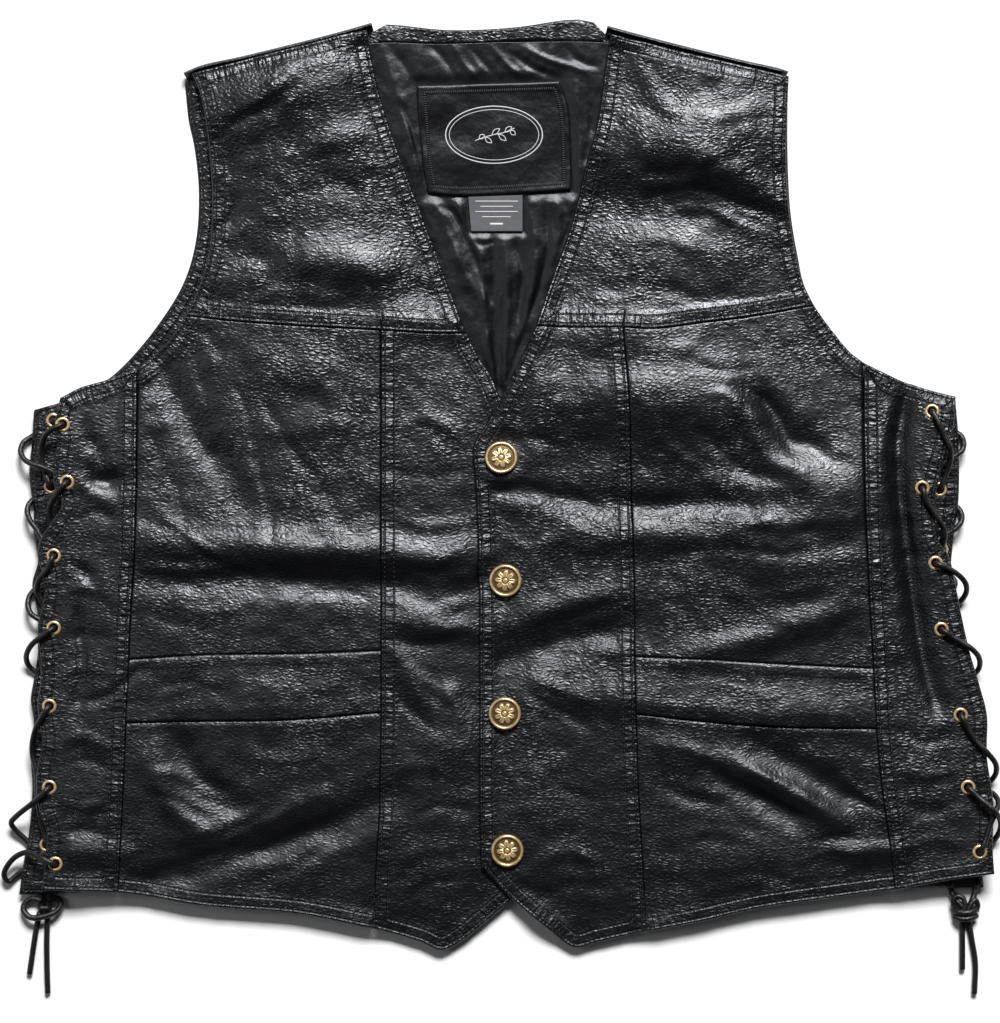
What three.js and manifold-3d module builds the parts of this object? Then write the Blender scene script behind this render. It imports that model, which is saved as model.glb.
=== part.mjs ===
// A laced leather vest laid flat on its back, in millimetres.
// +X is to the right as seen from above, +Y towards the collar, +Z up from the floor.
import * as THREE from 'three';
import { mergeVertices } from 'three/addons/utils/BufferGeometryUtils.js';
import Module from 'manifold-3d';

const wasm = await Module();
wasm.setup();

// Driving sizes
const LEATHER = 1.5;
const BACK_LEATHER = 1.4;
const LINING = 1.0;
const SEAM_GAP = 0.3;
const LIE_GAP = 0.35;
const BACK_LIFT = 5.4;
const LIFT_PLATEAU = 22;
const LIFT_END = 47;
const SIDE_HEIGHT = 16;
const ARMHOLE_HEIGHT = 10;
const NECK_EDGE_HEIGHT = 8.5;
const PLACKET_HEIGHT = 10;
const HEM_HEIGHT = 10;
const BODY_HEIGHT = 18.5;
const BODY_REACH = 42;
const OVERLAP_STEP = 3.2;
const ROLL_RADIUS = 5.5;
const ROLL_CENTRE = 5.5;
const LACE_RADIUS = 1.9;
const EYELET_BORE = 2.8;
const EYELET_BARREL = 3.4;
const EYELET_RADIUS = 5.1;
const EYELET_LIP = 0.7;
const SNAP_RADIUS = 11;
const LOWER_ROWS = 7;
const POCKET_ROWS = 2;
const UPPER_ROWS = 11;
const SIDE_COLUMNS = 3;
const MIDDLE_COLUMNS = 9;
const CENTRE_COLUMNS = 6;
const YOKE_ROWS = 10;
const YOKE_COLUMNS = 9;
const SHIFT_X = -0.73;
const SHIFT_Y = 0.4;

// Materials
const LEATHER_LOOK = new THREE.MeshStandardMaterial({ color: 0x1b1c20, roughness: 0.5 });
const LINING_LOOK = new THREE.MeshStandardMaterial({ color: 0x16161a, roughness: 0.4 });
const LABEL_LOOK = new THREE.MeshStandardMaterial({ color: 0x0d0d0f, roughness: 0.6 });
const TAB_LOOK = new THREE.MeshStandardMaterial({ color: 0x6f6f76, roughness: 0.7 });
const BRASS_LOOK = new THREE.MeshStandardMaterial({ color: 0xa9824a, roughness: 0.35, metalness: 1 });
const LACE_LOOK = new THREE.MeshStandardMaterial({ color: 0x1d1c1c, roughness: 0.5 });

// Outlines of the fronts, image left side
const LEFT = {
  side: [
    { x: -311, y: -276 }, { x: -309, y: -256 }, { x: -308, y: -237 }, { x: -312, y: -225 },
    { x: -315, y: -208 }, { x: -314, y: -192 }, { x: -311, y: -176 }, { x: -314, y: -151 },
    { x: -312, y: -134 }, { x: -312, y: -117 }, { x: -314, y: -98 }, { x: -310, y: -79 },
    { x: -310, y: -64 }, { x: -314, y: -49 }, { x: -312, y: -38 }, { x: -304, y: -25 },
    { x: -298, y: -14 }, { x: -303, y: -1 }, { x: -303, y: 13 }, { x: -301, y: 30 },
    { x: -302, y: 42 }, { x: -299, y: 58 },
  ],
  seam: [
    { x: -260, y: -278 }, { x: -257, y: -229 }, { x: -254, y: -162 }, { x: -252, y: -119 },
    { x: -251, y: -93 }, { x: -248, y: -38 }, { x: -247, y: 43 }, { x: -247, y: 78 },
  ],
  princess: [
    { x: -86, y: -303 }, { x: -85, y: -270 }, { x: -82, y: -215 }, { x: -81, y: -155 },
    { x: -81, y: -113 }, { x: -81, y: 0 }, { x: -81, y: 104 },
  ],
  placket: [
    { x: 18, y: -275 }, { x: 18, y: -181 }, { x: 17, y: -79 }, { x: 15, y: 2 }, { x: 13, y: 27 },
    { x: 8, y: 40 }, { x: 0, y: 58 }, { x: -7, y: 74 }, { x: -13, y: 83 }, { x: -23, y: 102 },
  ],
  hemSide: [{ x: -311, y: -276 }, { x: -279, y: -277 }, { x: -260, y: -278 }],
  hemMiddle: [
    { x: -260, y: -278 }, { x: -238, y: -281 }, { x: -204, y: -287 }, { x: -136, y: -293 },
    { x: -86, y: -303 },
  ],
  hemCentre: [
    { x: -86, y: -303 }, { x: -55, y: -312 }, { x: -40, y: -318 }, { x: -27, y: -312 },
    { x: -13, y: -301 }, { x: 0, y: -290 }, { x: 18, y: -275 },
  ],
  pocketLow: [{ x: -254, y: -162 }, { x: -204, y: -161 }, { x: -143, y: -160 }, { x: -81, y: -155 }],
  pocketTop: [{ x: -252, y: -119 }, { x: -204, y: -116 }, { x: -136, y: -115 }, { x: -81, y: -113 }],
  yokeMiddle: [{ x: -214, y: 114 }, { x: -177, y: 110 }, { x: -136, y: 107 }, { x: -81, y: 104 }],
  yokeCentre: [{ x: -81, y: 104 }, { x: -48, y: 102 }, { x: -23, y: 102 }],
  armLow: [{ x: -247, y: 78 }, { x: -236, y: 87 }, { x: -225, y: 98 }, { x: -214, y: 114 }],
  armSide: [{ x: -299, y: 58 }, { x: -286, y: 65 }, { x: -269, y: 70 }, { x: -247, y: 78 }],
  armHigh: [
    { x: -214, y: 114 }, { x: -206, y: 132 }, { x: -200, y: 149 }, { x: -197, y: 166 },
    { x: -196, y: 193 }, { x: -198, y: 227 }, { x: -202, y: 256 }, { x: -206, y: 271 },
    { x: -210, y: 279 },
  ],
  neck: [
    { x: -23, y: 102 }, { x: -28, y: 115 }, { x: -42, y: 152 }, { x: -60, y: 200 },
    { x: -70, y: 227 }, { x: -81, y: 261 }, { x: -88, y: 291 }, { x: -91, y: 309 },
  ],
  shoulder: [
    { x: -210, y: 279 }, { x: -164, y: 291 }, { x: -136, y: 298 }, { x: -109, y: 305 },
    { x: -91, y: 309 },
  ],
  fold: [
    { x: -216, y: 280 }, { x: -204, y: 285 }, { x: -177, y: 291 }, { x: -136, y: 301 },
    { x: -109, y: 308 }, { x: -88, y: 314 },
  ],
};

// Outlines of the fronts, image right side, whose placket lies on top
const RIGHT = {
  side: [
    { x: 335, y: -265 }, { x: 334, y: -249 }, { x: 334, y: -215 }, { x: 330, y: -185 },
    { x: 330, y: -157 }, { x: 325, y: -137 }, { x: 318, y: -113 }, { x: 312, y: -86 },
    { x: 308, y: -66 }, { x: 304, y: -49 }, { x: 297, y: -38 }, { x: 295, y: -11 },
    { x: 299, y: 9 }, { x: 304, y: 26 }, { x: 308, y: 43 }, { x: 309, y: 59 },
  ],
  seam: [
    { x: 268, y: -276 }, { x: 265, y: -249 }, { x: 259, y: -208 }, { x: 255, y: -166 },
    { x: 253, y: -125 }, { x: 250, y: -72 }, { x: 247, y: 2 }, { x: 247, y: 82 },
  ],
  princess: [
    { x: 99, y: -305 }, { x: 97, y: -263 }, { x: 94, y: -215 }, { x: 92, y: -156 },
    { x: 91, y: -117 }, { x: 91, y: -79 }, { x: 89, y: -15 }, { x: 87, y: 57 }, { x: 83, y: 106 },
  ],
  placket: [
    { x: -13, y: -260 }, { x: -14, y: -215 }, { x: -14, y: -106 }, { x: -15, y: -38 },
    { x: -17, y: 2 }, { x: -18, y: 26 }, { x: -10, y: 40 }, { x: 0, y: 58 }, { x: 13, y: 84 },
    { x: 24, y: 107 },
  ],
  hemSide: [{ x: 335, y: -265 }, { x: 299, y: -270 }, { x: 268, y: -276 }],
  hemMiddle: [
    { x: 268, y: -276 }, { x: 231, y: -281 }, { x: 176, y: -289 }, { x: 136, y: -298 },
    { x: 99, y: -305 },
  ],
  hemCentre: [
    { x: 99, y: -305 }, { x: 68, y: -312 }, { x: 50, y: -316 }, { x: 34, y: -304 },
    { x: 7, y: -282 }, { x: -13, y: -260 },
  ],
  pocketLow: [{ x: 255, y: -166 }, { x: 190, y: -165 }, { x: 136, y: -161 }, { x: 92, y: -156 }],
  pocketTop: [{ x: 253, y: -125 }, { x: 190, y: -122 }, { x: 136, y: -119 }, { x: 91, y: -117 }],
  yokeMiddle: [
    { x: 213, y: 121 }, { x: 168, y: 113 }, { x: 136, y: 109 }, { x: 104, y: 105 },
    { x: 83, y: 106 },
  ],
  yokeCentre: [{ x: 83, y: 106 }, { x: 55, y: 106 }, { x: 24, y: 107 }],
  armLow: [{ x: 247, y: 82 }, { x: 238, y: 89 }, { x: 224, y: 106 }, { x: 213, y: 121 }],
  armSide: [{ x: 309, y: 59 }, { x: 290, y: 64 }, { x: 272, y: 70 }, { x: 247, y: 82 }],
  armHigh: [
    { x: 213, y: 121 }, { x: 206, y: 136 }, { x: 201, y: 155 }, { x: 196, y: 186 },
    { x: 194, y: 227 }, { x: 195, y: 254 }, { x: 196, y: 277 },
  ],
  neck: [
    { x: 24, y: 107 }, { x: 35, y: 138 }, { x: 49, y: 179 }, { x: 59, y: 220 },
    { x: 66, y: 247 }, { x: 72, y: 288 }, { x: 75, y: 306 },
  ],
  shoulder: [
    { x: 196, y: 277 }, { x: 149, y: 288 }, { x: 122, y: 294 }, { x: 95, y: 301 },
    { x: 75, y: 306 },
  ],
  fold: [
    { x: 196, y: 281 }, { x: 190, y: 283 }, { x: 163, y: 289 }, { x: 122, y: 299 },
    { x: 95, y: 306 }, { x: 73, y: 312 },
  ],
};

// Outline of the back
const BACK = {
  hem: [{ x: -328, y: -280 }, { x: -200, y: -277 }, { x: 0, y: -276 }, { x: 200, y: -277 }, { x: 329, y: -275 }],
  sideLeft: [
    { x: -328, y: -280 }, { x: -325, y: -259 }, { x: -321, y: -236 }, { x: -319, y: -208 },
    { x: -320, y: -181 }, { x: -318, y: -161 }, { x: -320, y: -147 }, { x: -318, y: -134 },
    { x: -315, y: -113 }, { x: -316, y: -83 }, { x: -319, y: -69 }, { x: -315, y: -52 },
    { x: -318, y: -34 }, { x: -318, y: -18 }, { x: -320, y: -4 }, { x: -321, y: 9 },
    { x: -319, y: 30 }, { x: -318, y: 50 },
  ],
  armLeft: [
    { x: -318, y: 50 }, { x: -298, y: 56 }, { x: -270, y: 70 }, { x: -254, y: 84 },
    { x: -232, y: 111 }, { x: -216, y: 138 }, { x: -208, y: 166 }, { x: -206, y: 200 },
    { x: -209, y: 230 }, { x: -213, y: 249 }, { x: -216, y: 280 },
  ],
  sideRight: [
    { x: 329, y: -275 }, { x: 327, y: -242 }, { x: 323, y: -202 }, { x: 321, y: -161 },
    { x: 311, y: -120 }, { x: 306, y: -79 }, { x: 308, y: -42 }, { x: 312, y: -11 },
    { x: 312, y: 30 }, { x: 310, y: 57 },
  ],
  armRight: [
    { x: 310, y: 57 }, { x: 272, y: 68 }, { x: 249, y: 78 }, { x: 226, y: 104 },
    { x: 208, y: 134 }, { x: 203, y: 155 }, { x: 198, y: 186 }, { x: 196, y: 227 },
    { x: 196, y: 254 }, { x: 196, y: 281 },
  ],
  neck: [
    { x: -88, y: 314 }, { x: -68, y: 313 }, { x: -41, y: 310 }, { x: -14, y: 310 },
    { x: 13, y: 312 }, { x: 54, y: 317 }, { x: 73, y: 312 },
  ],
};

// Largest folds of the fronts: a soft ridge or trough along each line, its width and height
const FOLDS = [
  { x1: -204, y1: 274, x2: -95, y2: 296, width: 9, height: 1.6 },
  { x1: -197, y1: 247, x2: -143, y2: 271, width: 13, height: -3 },
  { x1: -143, y1: 271, x2: -95, y2: 286, width: 11, height: -2.5 },
  { x1: -150, y1: 168, x2: -85, y2: 170, width: 34, height: 3.5 },
  { x1: -180, y1: 182, x2: -189, y2: 158, width: 9, height: -2.5 },
  { x1: -201, y1: 104, x2: -177, y2: 56, width: 11, height: -2.6 },
  { x1: -177, y1: 56, x2: -153, y2: -38, width: 11, height: -2.8 },
  { x1: -160, y1: 57, x2: -116, y2: -11, width: 11, height: 2.6 },
  { x1: -157, y1: -26, x2: -116, y2: -34, width: 13, height: 4.2 },
  { x1: -245, y1: -43, x2: -164, y2: -55, width: 12, height: -3.6 },
  { x1: -164, y1: -55, x2: -20, y2: -64, width: 13, height: -4.2 },
  { x1: -48, y1: -20, x2: -22, y2: -30, width: 13, height: 3.4 },
  { x1: -240, y1: 2, x2: -204, y2: -40, width: 10, height: -2.6 },
  { x1: -220, y1: -50, x2: -206, y2: -46, width: 10, height: 2.8 },
  { x1: -216, y1: -80, x2: -90, y2: -84, width: 13, height: 2.2 },
  { x1: -66, y1: -88, x2: -40, y2: -84, width: 12, height: 3 },
  { x1: -66, y1: -112, x2: -36, y2: -148, width: 11, height: 2.8 },
  { x1: -62, y1: -208, x2: -58, y2: -212, width: 20, height: 3.4 },
  { x1: -36, y1: -216, x2: -34, y2: -236, width: 12, height: -2.4 },
  { x1: -226, y1: -192, x2: -194, y2: -214, width: 15, height: 3.8 },
  { x1: -211, y1: -249, x2: -116, y2: -208, width: 13, height: -3.8 },
  { x1: -116, y1: -208, x2: -84, y2: -195, width: 12, height: -2.8 },
  { x1: -180, y1: -240, x2: -110, y2: -262, width: 14, height: 2.4 },
  { x1: -272, y1: 22, x2: -262, y2: 14, width: 11, height: -2.4 },
  { x1: -272, y1: -144, x2: -240, y2: -123, width: 10, height: -2.6 },
  { x1: 120, y1: 262, x2: 160, y2: 246, width: 26, height: 2.8 },
  { x1: 80, y1: 216, x2: 136, y2: 208, width: 16, height: -3.6 },
  { x1: 136, y1: 198, x2: 193, y2: 180, width: 10, height: -2.6 },
  { x1: 76, y1: 120, x2: 148, y2: 88, width: 16, height: 3.2 },
  { x1: 156, y1: 72, x2: 196, y2: 16, width: 12, height: 4.2 },
  { x1: 178, y1: 60, x2: 188, y2: 40, width: 10, height: -2.6 },
  { x1: 148, y1: 4, x2: 198, y2: 6, width: 12, height: -3.8 },
  { x1: 98, y1: -26, x2: 240, y2: -28, width: 14, height: 4.2 },
  { x1: 12, y1: 36, x2: 44, y2: 28, width: 12, height: -2.4 },
  { x1: 0, y1: -2, x2: 78, y2: -16, width: 13, height: 3.4 },
  { x1: 28, y1: -98, x2: 90, y2: -78, width: 13, height: -4 },
  { x1: 60, y1: -112, x2: 74, y2: -116, width: 12, height: 3 },
  { x1: 110, y1: -62, x2: 230, y2: -70, width: 16, height: -2.6 },
  { x1: 140, y1: -100, x2: 190, y2: -102, width: 18, height: 2.6 },
  { x1: 152, y1: -178, x2: 170, y2: -186, width: 12, height: 3.6 },
  { x1: 170, y1: -186, x2: 250, y2: -226, width: 13, height: 4.4 },
  { x1: 136, y1: -188, x2: 176, y2: -208, width: 11, height: -3.2 },
  { x1: 176, y1: -208, x2: 212, y2: -226, width: 11, height: -3.4 },
  { x1: 102, y1: -206, x2: 136, y2: -216, width: 12, height: -2.6 },
  { x1: 196, y1: -252, x2: 256, y2: -240, width: 14, height: 2.6 },
  { x1: 30, y1: -140, x2: 60, y2: -250, width: 20, height: 1.8 },
  { x1: 275, y1: 60, x2: 268, y2: 0, width: 10, height: -3.2 },
  { x1: 268, y1: 0, x2: 276, y2: -45, width: 10, height: -3.6 },
  { x1: 276, y1: -45, x2: 294, y2: -150, width: 10, height: -2.8 },
];

// Eyelets of each side, front and back
const EYELETS_LEFT = [
  { x: -297, y: 40, backX: -304.5, backY: 43 },
  { x: -294, y: 1, backX: -306, backY: -2 },
  { x: -303, y: -49, backX: -304, backY: -36 },
  { x: -303, y: -98, backX: -303, backY: -84 },
  { x: -306, y: -151, backX: -305, backY: -139 },
  { x: -306, y: -206, backX: -306, backY: -193 },
  { x: -302, y: -258, backX: -309, backY: -246 },
];
const EYELETS_RIGHT = [
  { x: 293, y: 49, backX: 298.5, backY: 43.5 },
  { x: 286, y: -3, backX: 299, backY: -4 },
  { x: 295, y: -54, backX: 300, backY: -45 },
  { x: 299, y: -99, backX: 300, backY: -91 },
  { x: 312, y: -157, backX: 305, backY: -143 },
  { x: 317, y: -206, backX: 310, backY: -216 },
  { x: 325, y: -250, backX: 314, backY: -246 },
];

const SNAPS = [
  { x: 0.5, y: 17 },
  { x: 3.5, y: -66 },
  { x: 3, y: -156 },
  { x: 4.5, y: -249 },
];

// Pieces that show inside the neck
const INSIDE = {
  liningLow: [{ x: -70, y: 4 }, { x: 70, y: 4 }],
  liningTop: [
    { x: -98, y: 296 }, { x: -84, y: 299.3 }, { x: -41, y: 298.6 }, { x: 13, y: 300 },
    { x: 72, y: 299.3 }, { x: 84, y: 296 },
  ],
  liningLeft: [{ x: -70, y: 4 }, { x: -80, y: 150 }, { x: -98, y: 297 }],
  liningRight: [{ x: 70, y: 4 }, { x: 76, y: 150 }, { x: 84, y: 297 }],
  facingLow: [{ x: -84, y: 301 }, { x: -41, y: 300 }, { x: -14, y: 300.3 }, { x: 13, y: 302 }, { x: 71, y: 301 }],
  facingTop: [
    { x: -81, y: 307 }, { x: -66, y: 311 }, { x: -41, y: 308.8 }, { x: -14, y: 308.6 },
    { x: 13, y: 310.6 }, { x: 50, y: 315 }, { x: 60, y: 312 }, { x: 68, y: 306.4 },
  ],
  labelLow: [{ x: -49, y: 198 }, { x: -31, y: 196 }, { x: 20, y: 198 }, { x: 48, y: 200 }],
  labelTop: [{ x: -57, y: 271 }, { x: 40, y: 274 }],
  labelLeft: [{ x: -49, y: 198 }, { x: -53, y: 220 }, { x: -56, y: 254 }, { x: -57, y: 271 }],
  labelRight: [{ x: 48, y: 200 }, { x: 48, y: 217 }, { x: 46, y: 254 }, { x: 40, y: 274 }],
  tabLow: [{ x: -20, y: 172 }, { x: 15, y: 172 }],
  tabTop: [{ x: -22, y: 195.3 }, { x: 15, y: 196.6 }],
};
const LABEL_LIFT = 1.0;

// Largest wrinkles of the lining
const WRINKLES = [
  { x1: -60, y1: 190, x2: -20, y2: 120, width: 7, height: 0.7 },
  { x1: -40, y1: 170, x2: -8, y2: 90, width: 6, height: -0.6 },
  { x1: -3, y1: 165, x2: -2, y2: 60, width: 6, height: -0.9 },
  { x1: 10, y1: 165, x2: 6, y2: 70, width: 7, height: 0.7 },
  { x1: 32, y1: 190, x2: 12, y2: 110, width: 7, height: 0.6 },
];

// How the laces run. z is the height of the lace's centre line.
const LACE_UNDER = 2.05;
const BEND = 3.1;
const LACE_LEFT = {
  first: [
    { back: 1, up: false, starts: true },
    { x: -315, y: 35, z: 2.05 }, { x: -320.5, y: 31.5, z: 2.6 }, { x: -325.2, y: 28, z: 4.6 },
    { x: -326.7, y: 22, z: 7.6 }, { x: -324, y: 16.7, z: 10.2 }, { x: -318.6, y: 13.3, z: 12.4 },
    { x: -311.8, y: 11.2, z: 13.5 }, { x: -305.5, y: 8.4, z: 12.3 },
    { front: 2, up: true },
    { x: -300, y: -5.8, z: 19 }, { x: -303, y: -11, z: 18.6 }, { x: -306, y: -17.2, z: 15 },
    { x: -305.5, y: -24.5, z: 11 },
    { back: 3, up: false },
    { x: -311, y: -64, z: 2.05 }, { x: -316.5, y: -71, z: 2.4 }, { x: -321, y: -76.5, z: 3.8 },
    { x: -322, y: -82.5, z: 6.4 }, { x: -319.5, y: -88.5, z: 9.2 }, { x: -313.5, y: -92.5, z: 10 },
    { front: 4, up: true },
    { x: -308.5, y: -102.3, z: 18.8 }, { x: -314.5, y: -106.4, z: 18.2 }, { x: -319.3, y: -111, z: 14.8 },
    { x: -322.7, y: -118, z: 8.6 }, { x: -321.5, y: -124.5, z: 3.9 }, { x: -316, y: -129.5, z: 2.05 },
    { back: 5, up: true },
    { x: -304.5, y: -160, z: 10 }, { x: -305, y: -185, z: 10.4 },
    { front: 6, up: true },
    { x: -311.8, y: -212.5, z: 19 }, { x: -317.5, y: -217, z: 17.6 }, { x: -330, y: -227, z: 10 },
    { x: -333.2, y: -231, z: 7 }, { x: -330.5, y: -236.5, z: 4.4 }, { x: -324, y: -243, z: 2.4 },
    { x: -315, y: -256, z: 2.05 }, { x: -308, y: -271, z: 2.05 }, { x: -307.5, y: -278.3, z: 2.3 },
  ],
  second: [
    { front: 1, up: true, starts: true },
    { x: -304.5, y: 36.2, z: 18.6 }, { x: -309.5, y: 31.5, z: 15.5 }, { x: -312, y: 24, z: 11 },
    { x: -312, y: 15.5, z: 9.1 }, { x: -309.8, y: 7, z: 9.3 },
    { back: 2, up: false },
    { x: -314.5, y: -9, z: 2.05 }, { x: -320, y: -12, z: 3 }, { x: -322.4, y: -17.5, z: 6.3 },
    { x: -320.4, y: -24.5, z: 9 }, { x: -315.5, y: -31, z: 10 }, { x: -311.5, y: -37.5, z: 10.8 },
    { front: 3, up: true },
    { x: -306.8, y: -58, z: 19 }, { x: -312.4, y: -65, z: 18 }, { x: -315, y: -73, z: 12.8 },
    { x: -311, y: -81, z: 11 }, { x: -309.2, y: -89.5, z: 10.2 }, { x: -312.4, y: -101, z: 10.2 },
    { x: -312, y: -120, z: 10.2 },
    { front: 5, up: true },
    { x: -311, y: -159, z: 18.8 }, { x: -315, y: -166.3, z: 17 }, { x: -318, y: -176, z: 12.4 },
    { x: -318.2, y: -184.6, z: 10.2 }, { x: -315.5, y: -196, z: 10.4 }, { x: -314.5, y: -215, z: 10.4 },
    { x: -310, y: -238, z: 10.4 },
    { front: 7, up: true },
    { x: -309.5, y: -254.5, z: 18.4 }, { x: -314, y: -253, z: 16 }, { x: -321.5, y: -250.6, z: 12 },
    { x: -330, y: -254, z: 9 }, { x: -336.5, y: -261.5, z: 7 }, { x: -338.3, y: -267, z: 5.5 },
    { x: -335.5, y: -271.5, z: 3.6 }, { x: -331, y: -268, z: 2.4 }, { x: -325, y: -264, z: 2.05 },
    { x: -318, y: -268.5, z: 2.05 }, { x: -314.2, y: -273, z: 2.05 }, { x: -314, y: -278.3, z: 2.3 },
  ],
};
const LACE_RIGHT = {
  first: [
    { back: 1, up: false, starts: true },
    { x: 309, y: 36, z: 2.05 }, { x: 314.2, y: 32.4, z: 3 }, { x: 315.6, y: 27.5, z: 5.8 },
    { x: 314.2, y: 22.8, z: 8.8 }, { x: 309.4, y: 18.8, z: 9.4 }, { x: 304.3, y: 16, z: 9.2 },
    { x: 296.5, y: 9, z: 10 },
    { front: 2, up: true },
    { x: 288.2, y: -11.5, z: 19 }, { x: 292.5, y: -18, z: 18.5 }, { x: 297, y: -24.8, z: 18 },
    { x: 300.4, y: -30, z: 15.2 }, { x: 301.6, y: -36, z: 13.8 },
    { back: 3, up: false },
    { x: 301.5, y: -57, z: 2.05 }, { x: 307, y: -62.5, z: 2.6 }, { x: 309.7, y: -67.5, z: 5.8 },
    { x: 307, y: -73, z: 9 }, { x: 299.5, y: -79, z: 9.4 }, { x: 294.5, y: -88, z: 10.4 },
    { front: 4, up: true },
    { x: 305.8, y: -103.8, z: 18.8 }, { x: 312.5, y: -107.8, z: 18.5 }, { x: 319.3, y: -112.2, z: 18.3 },
    { x: 324.8, y: -118.2, z: 13.6 }, { x: 325.8, y: -125.5, z: 7.5 }, { x: 321.5, y: -131.5, z: 3.2 },
    { x: 315, y: -136.5, z: 2.05 },
    { back: 5, up: true },
    { x: 303, y: -160, z: 10 }, { x: 306, y: -185, z: 10.4 },
    { front: 6, up: true },
    { x: 322.7, y: -211.8, z: 20.2 }, { x: 328.6, y: -216.8, z: 22.2 }, { x: 334.2, y: -222, z: 22.6 },
    { x: 338.6, y: -228, z: 17 }, { x: 339.8, y: -235.2, z: 10 }, { x: 337, y: -242.5, z: 4.6 },
    { x: 331, y: -248.5, z: 2.2 }, { x: 327, y: -262, z: 2.05 }, { x: 324.3, y: -273.6, z: 2.2 },
  ],
  second: [
    { front: 1, up: true, starts: true },
    { x: 297, y: 40.8, z: 18.9 }, { x: 300.4, y: 33, z: 18.6 }, { x: 304.4, y: 24.4, z: 18.4 },
    { x: 305.4, y: 16, z: 14.4 }, { x: 303.4, y: 7.5, z: 11.2 },
    { back: 2, up: false },
    { x: 306, y: -12.5, z: 2.05 }, { x: 312.6, y: -17.2, z: 2.6 }, { x: 314.4, y: -22, z: 5.4 },
    { x: 313.2, y: -26.6, z: 8.6 }, { x: 309.2, y: -31, z: 9.4 }, { x: 305.5, y: -33.4, z: 9.1 },
    { x: 299.5, y: -36.6, z: 9.1 },
    { x: 295, y: -42, z: 10.4 },
    { front: 3, up: true },
    { x: 302.3, y: -57.2, z: 18.6 }, { x: 309, y: -61, z: 17.4 }, { x: 315.2, y: -67, z: 14.4 },
    { x: 317, y: -73.5, z: 8.8 }, { x: 314, y: -80, z: 3.9 }, { x: 309, y: -84.5, z: 2.05 },
    { back: 4, up: true },
    { x: 306, y: -106, z: 10 }, { x: 313.5, y: -130, z: 10 }, { x: 313.8, y: -143, z: 10 },
    { front: 5, up: true },
    { x: 316, y: -165, z: 19 }, { x: 322, y: -174.5, z: 18.6 }, { x: 329.8, y: -182.6, z: 18.7 },
    { x: 336, y: -190.2, z: 14.2 }, { x: 337, y: -197.6, z: 8 }, { x: 333, y: -204, z: 3.5 },
    { x: 326, y: -208.6, z: 2.05 },
    { back: 6, up: true },
    { x: 310, y: -228, z: 10 }, { x: 316, y: -241, z: 10.4 },
    { front: 7, up: true },
    { x: 328.9, y: -240.4, z: 18.8 }, { x: 331.6, y: -232, z: 18.4 }, { x: 334.6, y: -224, z: 18.6 },
    { x: 337.9, y: -218.6, z: 14 }, { x: 337.6, y: -213.6, z: 8 }, { x: 333.5, y: -210.4, z: 3.8 },
    { x: 328, y: -214, z: 2.05 }, { x: 319, y: -232, z: 2.05 }, { x: 311, y: -255, z: 2.05 },
    { x: 307, y: -272, z: 2.05 }, { x: 307.5, y: -278.3, z: 2.2 },
  ],
};

// Knots: each is tubes that run into one another
const KNOTS = {
  left: [
    { radius: 2.5, rows: [{ x: -314, y: -278.8, z: 2.6 }, { x: -313, y: -292, z: 2.6 }] },
    { radius: 2.5, rows: [{ x: -307.5, y: -278.8, z: 2.6 }, { x: -308.6, y: -292, z: 2.6 }] },
    {
      radius: 2.1,
      smooth: 22,
      rows: [
        { x: -313, y: -284.5, z: 4.4 }, { x: -319, y: -283.2, z: 3.6 }, { x: -324, y: -286, z: 3.6 },
        { x: -325.2, y: -290.5, z: 4.8 }, { x: -320, y: -295.6, z: 6.4 }, { x: -310, y: -294.6, z: 6.6 },
        { x: -302, y: -291, z: 5.2 }, { x: -299.7, y: -286, z: 3.8 }, { x: -303, y: -282.6, z: 3.6 },
        { x: -308.4, y: -284.5, z: 4.4 },
      ],
    },
    { radius: 2.2, rows: [{ x: -313.4, y: -289.5, z: 4.6 }, { x: -308.3, y: -289.5, z: 4.6 }] },
  ],
  right: [
    { radius: 3.6, rows: [{ x: 316.8, y: -283.5, z: 3.8 }, { x: 316.8, y: -296.4, z: 3.8 }] },
    {
      radius: 2.2,
      smooth: 8,
      rows: [{ x: 309, y: -291, z: 3.6 }, { x: 312.5, y: -292, z: 6.4 }, { x: 317, y: -292.4, z: 7.6 }, { x: 321.5, y: -291.4, z: 6.4 }, { x: 325, y: -290, z: 3.6 }],
    },
    { radius: 2, rows: [{ x: 307.6, y: -278.9, z: 2.3 }, { x: 309.8, y: -292.4, z: 3.6 }] },
    { radius: 2, rows: [{ x: 324.2, y: -274.2, z: 2.3 }, { x: 324.2, y: -291.8, z: 3.6 }] },
    { radius: 2.2, rows: [{ x: 310, y: -294, z: 3.2 }, { x: 324, y: -293.4, z: 3.2 }] },
  ],
};
const TAILS = {
  left_1: [{ x: -314.6, y: -292.5, z: 1.95 }, { x: -317, y: -305, z: 1.95 }, { x: -319.6, y: -322, z: 1.95 }, { x: -321.4, y: -334.6, z: 1.95 }],
  left_2: [{ x: -308.9, y: -292.5, z: 1.95 }, { x: -309.6, y: -310, z: 1.95 }, { x: -309.5, y: -330, z: 1.95 }, { x: -309, y: -347.6, z: 1.95 }],
  right_1: [{ x: 314.9, y: -296.8, z: 1.95 }, { x: 315.2, y: -310, z: 1.95 }, { x: 315.2, y: -331.5, z: 1.95 }],
  right_2: [{ x: 319.3, y: -296.8, z: 1.95 }, { x: 321.6, y: -311, z: 1.95 }, { x: 324, y: -327, z: 1.95 }, { x: 323.4, y: -348, z: 1.95 }],
};

// Curves through the tables
function curveThrough(rows) {
  const points = rows.map((row) => new THREE.Vector3(row.x, row.y, 0));
  return new THREE.CatmullRomCurve3(points, false, 'centripetal');
}

function pointsAlong(rows, cells) {
  return curveThrough(rows).getSpacedPoints(cells).map((p) => ({ x: p.x, y: p.y }));
}

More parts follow.
